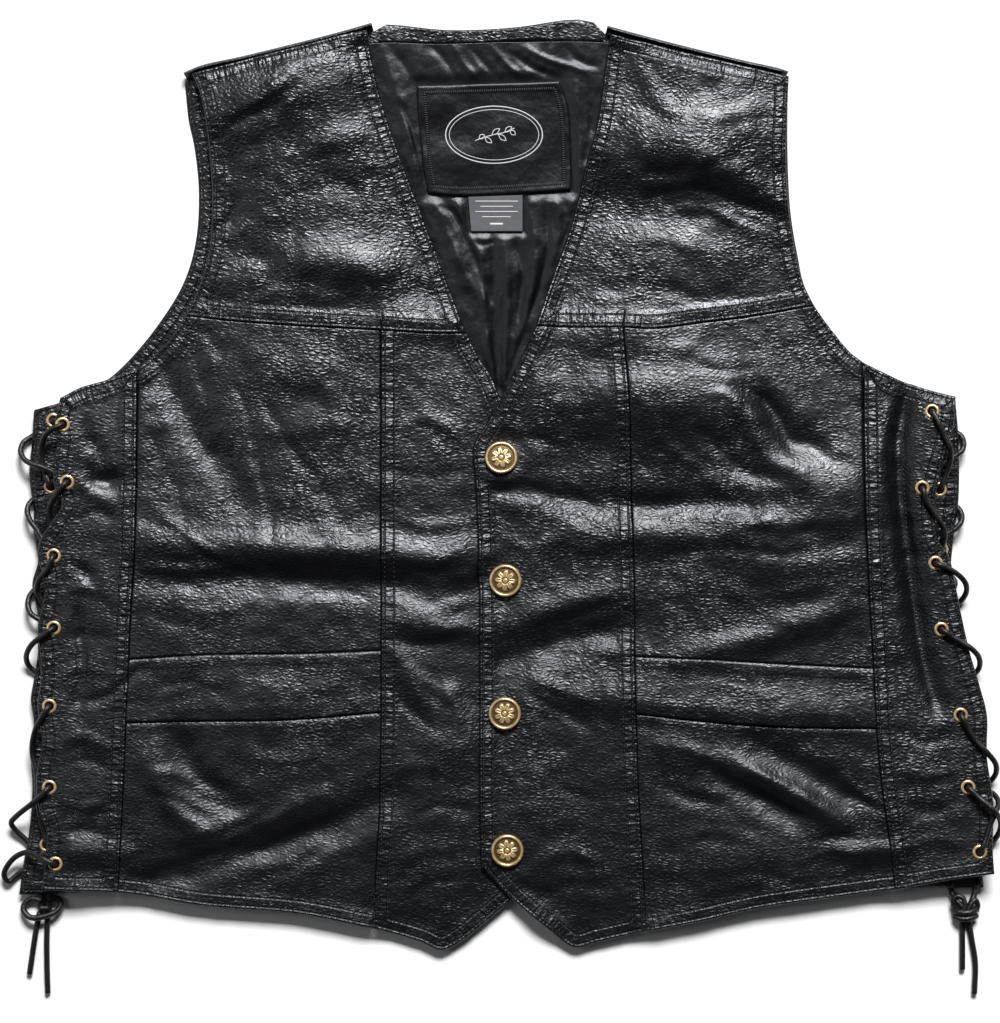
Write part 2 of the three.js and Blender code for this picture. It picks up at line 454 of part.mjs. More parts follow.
// Points on a line of the table at even steps between two heights
function pointsBetween(rows, yFrom, yTo, cells) {
  const fine = curveThrough(rows).getPoints(400);
  const list = [];
  for (let i = 0; i <= cells; i += 1) {
    const y = yFrom + ((yTo - yFrom) * i) / cells;
    let best = fine[0];
    for (let k = 1; k < fine.length; k += 1) {
      const a = fine[k - 1];
      const b = fine[k];
      if ((a.y - y) * (b.y - y) <= 0 && a.y !== b.y) {
        const f = (y - a.y) / (b.y - a.y);
        best = { x: a.x + (b.x - a.x) * f, y };
        break;
      }
      if (Math.abs(b.y - y) < Math.abs(best.y - y)) best = b;
    }
    list.push({ x: best.x, y });
  }
  return list;
}

function joinLists(...lists) {
  return lists.reduce((all, list) => (all.length ? all.concat(list.slice(1)) : list.slice()), []);
}

function lengthsOf(points) {
  const sums = [0];
  for (let i = 1; i < points.length; i += 1) {
    const step = Math.hypot(points[i].x - points[i - 1].x, points[i].y - points[i - 1].y);
    sums.push(sums[i - 1] + step);
  }
  return sums.map((s) => s / sums[sums.length - 1]);
}

// A patch between four lists of points: low and top run the same way, left and right run up
function patch(low, top, left, right) {
  const columns = low.length - 1;
  const rows = left.length - 1;
  const uLow = lengthsOf(low);
  const uTop = lengthsOf(top);
  const vLeft = lengthsOf(left);
  const vRight = lengthsOf(right);
  const grid = [];
  for (let j = 0; j <= rows; j += 1) {
    const line = [];
    for (let i = 0; i <= columns; i += 1) {
      const v0 = j / rows;
      const u = uLow[i] * (1 - v0) + uTop[i] * v0;
      const v = vLeft[j] * (1 - u) + vRight[j] * u;
      const point = {};
      for (const k of ['x', 'y']) {
        const ruledUp = low[i][k] * (1 - v) + top[i][k] * v;
        const ruledAcross = left[j][k] * (1 - u) + right[j][k] * u;
        const corners = (low[0][k] * (1 - u) + low[columns][k] * u) * (1 - v)
          + (top[0][k] * (1 - u) + top[columns][k] * u) * v;
        point[k] = ruledUp + ruledAcross - corners;
      }
      line.push(point);
    }
    grid.push(line);
  }
  return grid;
}

function distanceToLine(x, y, points) {
  let best = Infinity;
  for (let i = 1; i < points.length; i += 1) {
    const a = points[i - 1];
    const b = points[i];
    const dx = b.x - a.x;
    const dy = b.y - a.y;
    const f = Math.max(0, Math.min(1, ((x - a.x) * dx + (y - a.y) * dy) / (dx * dx + dy * dy)));
    best = Math.min(best, Math.hypot(x - a.x - f * dx, y - a.y - f * dy));
  }
  return best;
}

function smooth(f) {
  const c = Math.max(0, Math.min(1, f));
  return c * c * (3 - 2 * c);
}

// Height of the back's upper face: flat in the middle, lifted at the sides where the lace runs under
function backTop(x, y) {
  const d = Math.min(distanceToLine(x, y, BACK.sideLeft), distanceToLine(x, y, BACK.sideRight));
  return BACK_LEATHER + BACK_LIFT * smooth((LIFT_END - d) / (LIFT_END - LIFT_PLATEAU));
}

function foldHeight(x, y) {
  let sum = 0;
  for (const fold of FOLDS) {
    const d = distanceToLine(x, y, [{ x: fold.x1, y: fold.y1 }, { x: fold.x2, y: fold.y2 }]);
    sum += fold.height * Math.exp(-((d / fold.width) ** 2));
  }
  return sum;
}

// Height of the upper face of one front, before its placket is laid on the other
function frontTop(x, y, side) {
  const edges = [
    { line: side.side, height: SIDE_HEIGHT },
    { line: side.armSide, height: ARMHOLE_HEIGHT + 1.5 },
    { line: side.armLow, height: ARMHOLE_HEIGHT },
    { line: side.armHigh, height: ARMHOLE_HEIGHT },
    { line: side.neck, height: NECK_EDGE_HEIGHT },
    { line: side.placket, height: PLACKET_HEIGHT },
    { line: side.hemMiddle, height: HEM_HEIGHT + 1 },
    { line: side.hemCentre, height: HEM_HEIGHT - 3 },
  ];
  let weight = 1 / (BODY_REACH * BODY_REACH);
  let sum = weight * BODY_HEIGHT;
  for (const edge of edges) {
    const d = distanceToLine(x, y, edge.line);
    const w = 1 / (d * d + 9);
    weight += w;
    sum += w * edge.height;
  }
  const fromSide = distanceToLine(x, y, side.side);
  let z = sum / weight + foldHeight(x, y) * smooth((fromSide - 14) / 24);
  const fromFold = distanceToLine(x, y, side.fold);
  if (fromFold < ROLL_RADIUS) {
    const roll = ROLL_CENTRE + Math.sqrt(ROLL_RADIUS ** 2 - (ROLL_RADIUS - fromFold) ** 2);
    z = Math.min(z, roll);
  } else if (fromFold < 3 * ROLL_RADIUS) {
    const f = smooth((fromFold - ROLL_RADIUS) / (2 * ROLL_RADIUS));
    z = (ROLL_CENTRE + ROLL_RADIUS) * (1 - f) + z * f;
  }
  return Math.max(z, backTop(x, y) + LEATHER + 3.2);
}

function leftTop(x, y) {
  return frontTop(x, y, LEFT);
}

// The placket of image right is raised over the other front where they overlap
function rightTop(x, y) {
  const own = frontTop(x, y, RIGHT);
  const reach = smooth((46 - x) / 26);
  if (reach <= 0) return own;
  const over = Math.max(frontTop(x, y, LEFT), frontTop(x, y, RIGHT)) + OVERLAP_STEP;
  return own * (1 - reach) + Math.max(over, own) * reach;
}

function normalOf(top, x, y) {
  const e = 0.5;
  const slopeX = (top(x + e, y) - top(x - e, y)) / (2 * e);
  const slopeY = (top(x, y + e) - top(x, y - e)) / (2 * e);
  return new THREE.Vector3(-slopeX, -slopeY, 1).normalize();
}

// A closed wall from quads: outer and inner hold one point each per vertex
function closedWall(outer, inner, quads) {
  const count = outer.length;
  const position = new Float32Array(count * 6);
  for (let i = 0; i < count; i += 1) {
    position.set([outer[i].x, outer[i].y, outer[i].z], i * 3);
    position.set([inner[i].x, inner[i].y, inner[i].z], (count + i) * 3);
  }
  const index = [];
  const edges = new Map();
  for (const [a, b, c, d] of quads) {
    index.push(a, b, c, a, c, d);
    index.push(count + a, count + c, count + b, count + a, count + d, count + c);
    for (const [p, q] of [[a, b], [b, c], [c, d], [d, a]]) {
      const back = `${q},${p}`;
      if (edges.has(back)) edges.delete(back);
      else edges.set(`${p},${q}`, [p, q]);
    }
  }
  for (const [p, q] of edges.values()) {
    index.push(q, p, count + p, q, count + p, count + q);
  }
  const geometry = new THREE.BufferGeometry();
  geometry.setAttribute('position', new THREE.BufferAttribute(position, 3));
  geometry.setIndex(index);
  return geometry;
}

function gridQuads(columns, rows, flip) {
  const quads = [];
  for (let j = 0; j < rows; j += 1) {
    for (let i = 0; i < columns; i += 1) {
      const a = j * (columns + 1) + i;
      const ring = [a, a + 1, a + columns + 2, a + columns + 1];
      quads.push(flip ? ring.reverse() : ring);
    }
  }
  return quads;
}

// A panel: its plan from a patch, its upper face from a height function, its wall below that
function panelGeometry(grid, top, wall, lift = 0) {
  const rows = grid.length - 1;
  const columns = grid[0].length - 1;
  const a = grid[0][0];
  const b = grid[0][columns];
  const c = grid[rows][0];
  const flip = (b.x - a.x) * (c.y - a.y) - (b.y - a.y) * (c.x - a.x) < 0;
  const outer = [];
  const inner = [];
  for (const line of grid) {
    for (const p of line) {
      const normal = normalOf(top, p.x, p.y);
      const point = new THREE.Vector3(p.x, p.y, top(p.x, p.y)).addScaledVector(normal, lift);
      outer.push(point);
      inner.push(point.clone().addScaledVector(normal, -wall));
    }
  }
  return closedWall(outer, inner, gridQuads(columns, rows, flip));
}

// Moves the points of a list sideways, to leave half a seam's gap
function shifted(points, dx, dy) {
  return points.map((p) => ({ x: p.x + dx, y: p.y + dy }));
}

function frontPanels(side, sign) {
  const half = SEAM_GAP / 2;
  const inward = -sign * half;
  const end = (rows) => rows[rows.length - 1];
  const lowY = (rows) => end(rows).y;
  const hemSeamY = side.hemSide[2].y;
  const hemPrincessY = side.hemCentre[0].y;
  const seamLow = pointsBetween(side.seam, hemSeamY, side.pocketLow[0].y, LOWER_ROWS);
  const seamPocket = pointsBetween(side.seam, side.pocketLow[0].y, side.pocketTop[0].y, POCKET_ROWS);
  const seamHigh = pointsBetween(side.seam, side.pocketTop[0].y, side.armLow[0].y, UPPER_ROWS);
  const princessLow = pointsBetween(side.princess, hemPrincessY, lowY(side.pocketLow), LOWER_ROWS);
  const princessPocket = pointsBetween(side.princess, lowY(side.pocketLow), lowY(side.pocketTop), POCKET_ROWS);
  const princessHigh = pointsBetween(side.princess, lowY(side.pocketTop), lowY(side.yokeMiddle), UPPER_ROWS);
  const pocketLow = pointsAlong(side.pocketLow, MIDDLE_COLUMNS);
  const pocketTop = pointsAlong(side.pocketTop, MIDDLE_COLUMNS);
  const rowsAll = LOWER_ROWS + POCKET_ROWS + UPPER_ROWS;

  // Side panel
  const sideOut = joinLists(
    pointsBetween(side.side, side.side[0].y, side.pocketLow[0].y, LOWER_ROWS),
    pointsBetween(side.side, side.pocketLow[0].y, side.pocketTop[0].y, POCKET_ROWS),
    pointsBetween(side.side, side.pocketTop[0].y, end(side.side).y, UPPER_ROWS),
  );
  const seamAll = joinLists(seamLow, seamPocket, seamHigh);
  const sideGrid = patch(
    trimEnd(pointsAlong(side.hemSide, SIDE_COLUMNS), -inward),
    trimEnd(pointsAlong(side.armSide, SIDE_COLUMNS), -inward),
    sideOut,
    shifted(seamAll, -inward, 0),
  );

  // Middle panel below the pocket, the welt, and the panel above it
  const lowGrid = patch(
    trimBoth(pointsAlong(side.hemMiddle, MIDDLE_COLUMNS), inward),
    trimBoth(shifted(pocketLow, 0, -half), inward),
    trimTop(shifted(seamLow, inward, 0), half),
    trimTop(shifted(princessLow, -inward, 0), half),
  );
  const weltGrid = patch(
    trimBoth(shifted(pocketLow, 0, half), inward),
    trimBoth(shifted(pocketTop, 0, -half), inward),
    trimTop(trimLow(shifted(seamPocket, inward, 0), half), half),
    trimTop(trimLow(shifted(princessPocket, -inward, 0), half), half),
  );
  const armCells = 2;
  const highTop = joinLists(
    pointsAlong(side.armLow, armCells),
    shifted(pointsAlong(side.yokeMiddle, MIDDLE_COLUMNS - armCells), 0, -half),
  );
  highTop[armCells] = { x: side.yokeMiddle[0].x, y: side.yokeMiddle[0].y - half };
  const highGrid = patch(
    trimBoth(shifted(pocketTop, 0, half), inward),
    trimBoth(highTop, inward),
    trimLow(shifted(seamHigh, inward, 0), half),
    trimTop(trimLow(shifted(princessHigh, -inward, 0), half), half),
  );

  // Centre panel, from the princess seam to the placket and the neck edge
  const princessAll = joinLists(princessLow, princessPocket, princessHigh);
  const edgeAll = pointsAlong(side.placket, rowsAll);
  const centreGrid = patch(
    trimStart(pointsAlong(side.hemCentre, CENTRE_COLUMNS), inward),
    trimStart(shifted(pointsAlong(side.yokeCentre, CENTRE_COLUMNS), 0, -half), inward),
    trimTop(shifted(princessAll, inward, 0), half),
    trimTop(edgeAll, half),
  );

  // Yoke, from the yoke seam to the shoulder seam
  const yokeLow = joinLists(
    pointsAlong(side.yokeMiddle, YOKE_COLUMNS - 3),
    pointsAlong(side.yokeCentre, 3),
  );
  const yokeGrid = patch(
    shifted(yokeLow, 0, half),
    pointsAlong(side.shoulder, YOKE_COLUMNS),
    trimLow(pointsAlong(side.armHigh, YOKE_ROWS), half),
    trimLow(pointsAlong(side.neck, YOKE_ROWS), half),
  );
  return { sideGrid, lowGrid, weltGrid, highGrid, centreGrid, yokeGrid };
}

function trimStart(points, dx) {
  const list = points.slice();
  list[0] = { x: list[0].x + dx, y: list[0].y };
  return list;
}

function trimEnd(points, dx) {
  const list = points.slice();
  const last = list.length - 1;
  list[last] = { x: list[last].x + dx, y: list[last].y };
  return list;
}

function trimBoth(points, dx) {
  return trimEnd(trimStart(points, dx), -dx);
}

function trimLow(points, dy) {
  const list = points.slice();
  list[0] = { x: list[0].x, y: list[0].y + dy };
  return list;
}

function trimTop(points, dy) {
  const list = points.slice();
  const last = list.length - 1;
  list[last] = { x: list[last].x, y: list[last].y - dy };
  return list;
}

// Booleans
function solidOf(geometry) {
  const bare = geometry.clone();
  bare.deleteAttribute('normal');
  bare.deleteAttribute('uv');
  const merged = mergeVertices(bare, 1e-4);
  return new wasm.Manifold(new wasm.Mesh({
    numProp: 3,
    vertProperties: new Float32Array(merged.attributes.position.array),
    triVerts: new Uint32Array(merged.index.array),
  }));
}

function geometryOf(solid) {
  const mesh = solid.getMesh();
  const geometry = new THREE.BufferGeometry();
  geometry.setAttribute('position', new THREE.BufferAttribute(new Float32Array(mesh.vertProperties), 3));
  geometry.setIndex(new THREE.BufferAttribute(new Uint32Array(mesh.triVerts), 1));
  return geometry;
}

// A place on a panel's upper face: its point, the direction that faces out, and the wall there
function seatOn(top, x, y, radius) {
  const point = new THREE.Vector3(x, y, top(x, y));
  const normal = new THREE.Vector3();
  for (let k = 0; k < 12; k += 1) {
    const angle = (k * Math.PI) / 6;
    normal.add(normalOf(top, x + radius * Math.cos(angle), y + radius * Math.sin(angle)));
  }
  normal.normalize();
  let rise = -Infinity;
  let drop = Infinity;
  for (let k = 0; k < 24; k += 1) {
    const angle = (k * Math.PI) / 12;
    for (const r of [radius, radius * 0.5]) {
      const px = x + r * Math.cos(angle);
      const py = y + r * Math.sin(angle);
      const offset = new THREE.Vector3(px, py, top(px, py)).sub(point).dot(normal);
      rise = Math.max(rise, offset);
      drop = Math.min(drop, offset);
    }
  }
  return { point, normal, rise, drop };
}

// Places a piece modelled along +Y on a seat
function placeOn(geometry, seat, lift) {
  const turn = new THREE.Quaternion().setFromUnitVectors(new THREE.Vector3(0, 1, 0), seat.normal);
  geometry.applyQuaternion(turn);
  const at = seat.point.clone().addScaledVector(seat.normal, lift);
  geometry.translate(at.x, at.y, at.z);
  return geometry;
}

// An eyelet: a barrel through the leather with a rolled lip above and a flat one below
function eyeletGeometry(seat, wall, segments) {
  const above = seat.rise + 0.3;
  const below = wall - seat.drop + 0.42;
  const profile = [
    new THREE.Vector2(EYELET_BORE, -below - 0.5),
    new THREE.Vector2(EYELET_RADIUS - 0.5, -below - 0.5),
    new THREE.Vector2(EYELET_BARREL, -below),
    new THREE.Vector2(EYELET_BARREL, above),
    new THREE.Vector2(EYELET_RADIUS, above),
    new THREE.Vector2((EYELET_RADIUS + EYELET_BORE) / 2, above + EYELET_LIP),
    new THREE.Vector2(EYELET_BORE, above + 0.1),
    new THREE.Vector2(EYELET_BORE, -below - 0.5),
  ];
  return placeOn(new THREE.LatheGeometry(profile, segments), seat, 0);
}

function holeGeometry(seat, segments) {
  const hole = new THREE.CylinderGeometry(EYELET_BARREL + 0.3, EYELET_BARREL + 0.3, 14, segments);
  return placeOn(hole, seat, 0);
}

function snapGeometry(seat) {
  const base = seat.rise + 0.3;
  const profile = [
    new THREE.Vector2(0, base),
    new THREE.Vector2(SNAP_RADIUS - 1.2, base),
    new THREE.Vector2(SNAP_RADIUS, base + 1),
    new THREE.Vector2(SNAP_RADIUS, base + 2.2),
    new THREE.Vector2(SNAP_RADIUS - 0.9, base + 3.1),
    new THREE.Vector2(SNAP_RADIUS - 2, base + 2.4),
    new THREE.Vector2(SNAP_RADIUS - 4.5, base + 2.9),
    new THREE.Vector2(0, base + 3.3),
  ];
  return placeOn(new THREE.LatheGeometry(profile, 18), seat, 0);
}

// A tube whose rings stand exactly at the points of a route
class Route extends THREE.Curve {
  constructor(points) {
    super();
    this.points = points;
  }

  at(u) {
    return Math.round(u * (this.points.length - 1));
  }

  getPoint(u, target = new THREE.Vector3()) {
    return target.copy(this.points[this.at(u)]);
  }

  getPointAt(u, target) {
    return this.getPoint(u, target);
  }

  getTangent(u, target = new THREE.Vector3()) {
    const i = this.at(u);
    const last = this.points.length - 1;
    const before = this.points[Math.max(0, i - 1)];
    const after = this.points[Math.min(last, i + 1)];
    return target.copy(after).sub(before).normalize();
  }

  getTangentAt(u, target) {
    return this.getTangent(u, target);
  }
}

function tubeGeometry(points, radius, sides) {
  const ring = new THREE.Shape();
  for (let k = 0; k < sides; k += 1) {
    const angle = (2 * Math.PI * k) / sides;
    const px = radius * Math.cos(angle);
    const py = radius * Math.sin(angle);
    if (k === 0) ring.moveTo(px, py);
    else ring.lineTo(px, py);
  }
  ring.closePath();
  return new THREE.ExtrudeGeometry(ring, {
    steps: points.length - 1,
    bevelEnabled: false,
    extrudePath: new Route(points),
  });
}

// The model
const group = new THREE.Group();
const pieces = new Map();

// Every piece is shifted so that the origin is under the middle of the vest
function add(name, geometry, material) {
  geometry.translate(SHIFT_X, SHIFT_Y, 0);
  const mesh = new THREE.Mesh(geometry, material);
  mesh.name = name;
  group.add(mesh);
  pieces.set(name, mesh);
}

// Back, with the roll of each shoulder over the top to its seam
function backGeometry() {
  const lower = 13;
  const upper = 6;
  const shoulderCells = 5;
  const neckCells = 4;
  const left = joinLists(pointsAlong(BACK.sideLeft, lower), pointsAlong(BACK.armLeft, upper));
  const right = joinLists(pointsAlong(BACK.sideRight, lower), pointsAlong(BACK.armRight, upper));
  const top = joinLists(
    pointsAlong(LEFT.fold, shoulderCells),
    pointsAlong(BACK.neck, neckCells),
    pointsAlong(RIGHT.fold.slice().reverse(), shoulderCells),
  );
  const columns = top.length - 1;
  const edgeSteps = [0, 10, 24, 35, 47];
  const low = [];
  const start = BACK.hem[0].x;
  const span = BACK.hem[4].x - start;
  for (let i = 0; i <= columns; i += 1) {
    let d = 47 + ((i - 4) * (span - 94)) / (columns - 8);
    if (i <= 4) d = edgeSteps[i];
    if (i >= columns - 4) d = span - edgeSteps[columns - i];
    low.push(pointAtX(BACK.hem, start + d));
  }
  const grid = patch(low, top, left, right);
  const rows = grid.length - 1;
  const outer = [];
  const inner = [];
  const index = new Map();
  const put = (key, a, b) => {
    index.set(key, outer.length);
    outer.push(a);
    inner.push(b);
  };
  for (let j = 0; j <= rows; j += 1) {
    for (let i = 0; i <= columns; i += 1) {
      const p = grid[j][i];
      const rolled = j === rows && (i <= shoulderCells || i >= columns - shoulderCells);
      if (rolled) continue;
      const z = backTop(p.x, p.y);
      put(`${j},${i}`, new THREE.Vector3(p.x, p.y, z), new THREE.Vector3(p.x, p.y, z - BACK_LEATHER));
    }
  }
  const rollAngles = [-90, -45, 0, 50];
  for (let i = 0; i <= columns; i += 1) {
    if (i > shoulderCells && i < columns - shoulderCells) continue;
    const p = grid[rows][i];
    const q = top[Math.min(columns, i + 1)];
    const o = top[Math.max(0, i - 1)];
    const along = new THREE.Vector3(q.x - o.x, q.y - o.y, 0).normalize();
    const out = new THREE.Vector3(-along.y, along.x, 0);
    rollAngles.forEach((degrees, k) => {
      const angle = (degrees * Math.PI) / 180;
      const make = (radius) => new THREE.Vector3(p.x, p.y, ROLL_CENTRE)
        .addScaledVector(out, radius * Math.cos(angle) - ROLL_RADIUS)
        .add(new THREE.Vector3(0, 0, radius * Math.sin(angle)));
      put(`${rows + k},${i}`, make(ROLL_RADIUS - BACK_LEATHER), make(ROLL_RADIUS));
    });
  }
  const quads = [];
  const has = (j, i) => index.has(`${j},${i}`);
  for (let j = 0; j < rows + rollAngles.length; j += 1) {
    for (let i = 0; i < columns; i += 1) {
      if (has(j, i) && has(j, i + 1) && has(j + 1, i) && has(j + 1, i + 1)) {
        quads.push([[j, i], [j, i + 1], [j + 1, i + 1], [j + 1, i]].map((k) => index.get(k.join(','))));
      }
    }
  }
  return closedWall(outer, inner, quads);
}

function pointAtX(rows, x) {
  for (let i = 1; i < rows.length; i += 1) {
    if (x <= rows[i].x || i === rows.length - 1) {
      const f = (x - rows[i - 1].x) / (rows[i].x - rows[i - 1].x);
      return { x, y: rows[i - 1].y + (rows[i].y - rows[i - 1].y) * f };
    }
  }
  return rows[0];
}

const sides = [
  { name: 'left', table: LEFT, top: leftTop, sign: -1, eyelets: EYELETS_LEFT },
  { name: 'right', table: RIGHT, top: rightTop, sign: 1, eyelets: EYELETS_RIGHT },
];

let backSolid = solidOf(backGeometry());
for (const side of sides) {
  side.eyelets.forEach((row) => {
    row.front = seatOn(side.top, row.x, row.y, EYELET_RADIUS);
    row.back = seatOn(backTop, row.backX, row.backY, EYELET_RADIUS);
    backSolid = backSolid.subtract(solidOf(holeGeometry(row.back, 8)));
  });
}
add('back', geometryOf(backSolid), LEATHER_LOOK);

for (const side of sides) {
  const grids = frontPanels(side.table, side.sign);
  let sidePanel = solidOf(panelGeometry(grids.sideGrid, side.top, LEATHER));
  for (const row of side.eyelets) sidePanel = sidePanel.subtract(solidOf(holeGeometry(row.front, 10)));
  add(`yoke_${side.name}`, panelGeometry(grids.yokeGrid, side.top, LEATHER), LEATHER_LOOK);
  add(`centre_${side.name}`, panelGeometry(grids.centreGrid, side.top, LEATHER), LEATHER_LOOK);
  add(`middle_upper_${side.name}`, panelGeometry(grids.highGrid, side.top, LEATHER), LEATHER_LOOK);
  add(`pocket_welt_${side.name}`, panelGeometry(grids.weltGrid, side.top, LEATHER + 0.9, 0.9), LEATHER_LOOK);
  add(`middle_lower_${side.name}`, panelGeometry(grids.lowGrid, side.top, LEATHER), LEATHER_LOOK);
  add(`side_${side.name}`, geometryOf(sidePanel), LEATHER_LOOK);
  side.eyelets.forEach((row, i) => {
    add(`eyelet_front_${side.name}_${i + 1}`, eyeletGeometry(row.front, LEATHER, 10), BRASS_LOOK);
    add(`eyelet_back_${side.name}_${i + 1}`, eyeletGeometry(row.back, BACK_LEATHER, 8), BRASS_LOOK);
  });
}

SNAPS.forEach((row, i) => {
  const seat = seatOn(rightTop, row.x, row.y, SNAP_RADIUS);
  add(`snap_${i + 1}`, snapGeometry(seat), BRASS_LOOK);
});

// Inside the neck: lining, leather facing, label patch and size tab
function wrinkleHeight(x, y) {
  let sum = 0;
  for (const row of WRINKLES) {
    const d = distanceToLine(x, y, [{ x: row.x1, y: row.y1 }, { x: row.x2, y: row.y2 }]);
    sum += row.height * Math.exp(-((d / row.width) ** 2));
  }
  return sum;
}

function liningTop(x, y) {
  return backTop(x, y) + LIE_GAP + LINING + Math.max(0, 0.5 + wrinkleHeight(x, y));
}

function facingTop(x, y) {
  return backTop(x, y) + LIE_GAP + LEATHER;
}

function labelTop() {
  return BACK_LEATHER + 2 * LIE_GAP + 2 * LINING + LABEL_LIFT;
}

const liningGrid = patch(
  pointsAlong(INSIDE.liningLow, 8),
  pointsAlong(INSIDE.liningTop, 8),
  pointsAlong(INSIDE.liningLeft, 11),
  pointsAlong(INSIDE.liningRight, 11),
);
add('back_lining', panelGeometry(liningGrid, liningTop, LINING), LINING_LOOK);
const facingGrid = patch(
  pointsAlong(INSIDE.facingLow, 10),
  pointsAlong(INSIDE.facingTop, 10),
  pointsAlong([INSIDE.facingLow[0], INSIDE.facingTop[0]], 1),
  pointsAlong([INSIDE.facingLow[4], INSIDE.facingTop[7]], 1),
);
add('neck_facing', panelGeometry(facingGrid, facingTop, LEATHER), LEATHER_LOOK);
const labelGrid = patch(
  pointsAlong(INSIDE.labelLow, 4),
  pointsAlong(INSIDE.labelTop, 4),
  pointsAlong(INSIDE.labelLeft, 4),
  pointsAlong(INSIDE.labelRight, 4),
);
add('label_patch', panelGeometry(labelGrid, labelTop, LINING), LABEL_LOOK);
const tabGrid = patch(
  pointsAlong(INSIDE.tabLow, 3),
  pointsAlong(INSIDE.tabTop, 3),
  pointsAlong([INSIDE.tabLow[0], INSIDE.tabTop[0]], 2),
  pointsAlong([INSIDE.tabLow[1], INSIDE.tabTop[1]], 2),
);
add('size_tab', panelGeometry(tabGrid, labelTop, LINING), TAB_LOOK);

// The lace of each side. A stop names an eyelet that the lace goes up or down through,
// or a point with the height of its centre line.
function laceRoute(stops, side) {
  const plan = stops.map((stop) => {
    if (stop.front) return side.eyelets[stop.front - 1].front.point;
    if (stop.back) return side.eyelets[stop.back - 1].back.point;
    return new THREE.Vector3(stop.x, stop.y, stop.z);
  });
  const heading = (i, k) => {
    const a = plan[Math.max(0, Math.min(plan.length - 1, i))];
    const b = plan[Math.max(0, Math.min(plan.length - 1, k))];
    return new THREE.Vector3(b.x - a.x, b.y - a.y, 0).normalize();
  };
  const points = [];
  stops.forEach((stop, i) => {
    if (!stop.front && !stop.back) {
      points.push(plan[i]);
      return;
    }
    const row = side.eyelets[(stop.front || stop.back) - 1];
    const seat = stop.front ? row.front : row.back;
    const wall = stop.front ? LEATHER : BACK_LEATHER;
    const centre = new THREE.Vector3(seat.point.x, seat.point.y, 0);
    const high = seat.point.z + seat.rise + 0.3 + EYELET_LIP + 0.6 + LACE_RADIUS;
    const low = stop.front
      ? seat.point.z - wall + seat.drop - 1.1 - LACE_RADIUS
      : LACE_UNDER;
    const at = (direction, reach, z) => centre.clone().addScaledVector(direction, reach).setZ(z);
    const into = heading(i - 1, i);
    const out = heading(i, i + 1);
    const from = stop.up ? low : high;
    const to = stop.up ? high : low;
    const rise = Math.sign(to - from);
    if (stop.starts) {
      points.push(at(into, 0, stop.front ? low + 1.5 : seat.point.z + 2));
    } else {
      points.push(at(into, -BEND, from));
      points.push(at(into, -BEND * 0.3, from + rise * BEND * 0.3));
      points.push(at(into, 0, from + rise * BEND));
    }
    points.push(at(out, 0, to - rise * BEND));
    points.push(at(out, BEND * 0.3, to - rise * BEND * 0.3));
    points.push(at(out, BEND, to));
  });
  return points;
}

// Drops points that stand closer together than a third of the lace's width
function thinned(points) {
  return points.filter((p, i) => i === 0 || i === points.length - 1 || p.distanceTo(points[i - 1]) > 0.6);
}

for (const side of sides) {
  const stops = side.name === 'left' ? LACE_LEFT : LACE_RIGHT;
  const first = laceRoute(stops.first, side);
  const second = laceRoute(stops.second, side);
  const route = thinned(first.slice().reverse().concat(second));
  add(`lacing_${side.name}`, tubeGeometry(route, LACE_RADIUS, 6), LACE_LOOK);
}

// Knots and free ends
function joined(geometries) {
  return geometryOf(geometries.map(solidOf).reduce((all, next) => all.add(next)));
}

function vectors(rows) {
  return rows.map((row) => new THREE.Vector3(row.x, row.y, row.z));
}

for (const [name, knot] of Object.entries(KNOTS)) {
  add(`lace_knot_${name}`, joined(knot.map((tube) => {
    const points = tube.smooth
      ? new THREE.CatmullRomCurve3(vectors(tube.rows), false, 'centripetal').getSpacedPoints(tube.smooth)
      : vectors(tube.rows);
    return tubeGeometry(points, tube.radius, 8);
  })), LACE_LOOK);
}
for (const [name, rows] of Object.entries(TAILS)) {
  const points = new THREE.CatmullRomCurve3(vectors(rows), false, 'centripetal').getSpacedPoints(6);
  add(`lace_tail_${name}`, tubeGeometry(points, LACE_RADIUS, 8), LACE_LOOK);
}

export default group;
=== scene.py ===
# Looks for a laced leather vest that lies flat on its back.
# Tables are in millimetres in the frame of the solids, before the shift to the middle.
import math

import bpy
import numpy as np
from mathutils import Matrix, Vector


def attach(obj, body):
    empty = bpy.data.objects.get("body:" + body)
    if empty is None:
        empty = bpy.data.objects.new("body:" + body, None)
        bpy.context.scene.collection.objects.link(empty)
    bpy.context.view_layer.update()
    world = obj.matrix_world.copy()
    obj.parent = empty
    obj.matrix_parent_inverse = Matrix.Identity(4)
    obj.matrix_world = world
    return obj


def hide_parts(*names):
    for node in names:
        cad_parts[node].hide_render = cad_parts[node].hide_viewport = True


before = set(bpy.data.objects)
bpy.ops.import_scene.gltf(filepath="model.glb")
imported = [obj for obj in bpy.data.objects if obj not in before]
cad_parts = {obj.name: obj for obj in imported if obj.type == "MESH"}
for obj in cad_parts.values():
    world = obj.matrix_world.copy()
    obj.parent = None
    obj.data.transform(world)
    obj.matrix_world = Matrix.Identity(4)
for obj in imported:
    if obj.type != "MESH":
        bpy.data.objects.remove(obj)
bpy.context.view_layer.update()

M = 0.001
SHIFT = np.array([-0.73, 0.4, 0.0])
LEATHER = 1.5
BACK_LEATHER = 1.4
LINING = 1.0
LIE_GAP = 0.35
HALF_GAP = 0.12
BACK_LIFT = 5.4
LIFT_PLATEAU = 22
LIFT_END = 47
SIDE_HEIGHT = 16
ARMHOLE_HEIGHT = 10
NECK_EDGE_HEIGHT = 8.5
PLACKET_HEIGHT = 10
HEM_HEIGHT = 10
BODY_HEIGHT = 18.5
BODY_REACH = 42
OVERLAP_STEP = 3.2
ROLL_RADIUS = 5.5
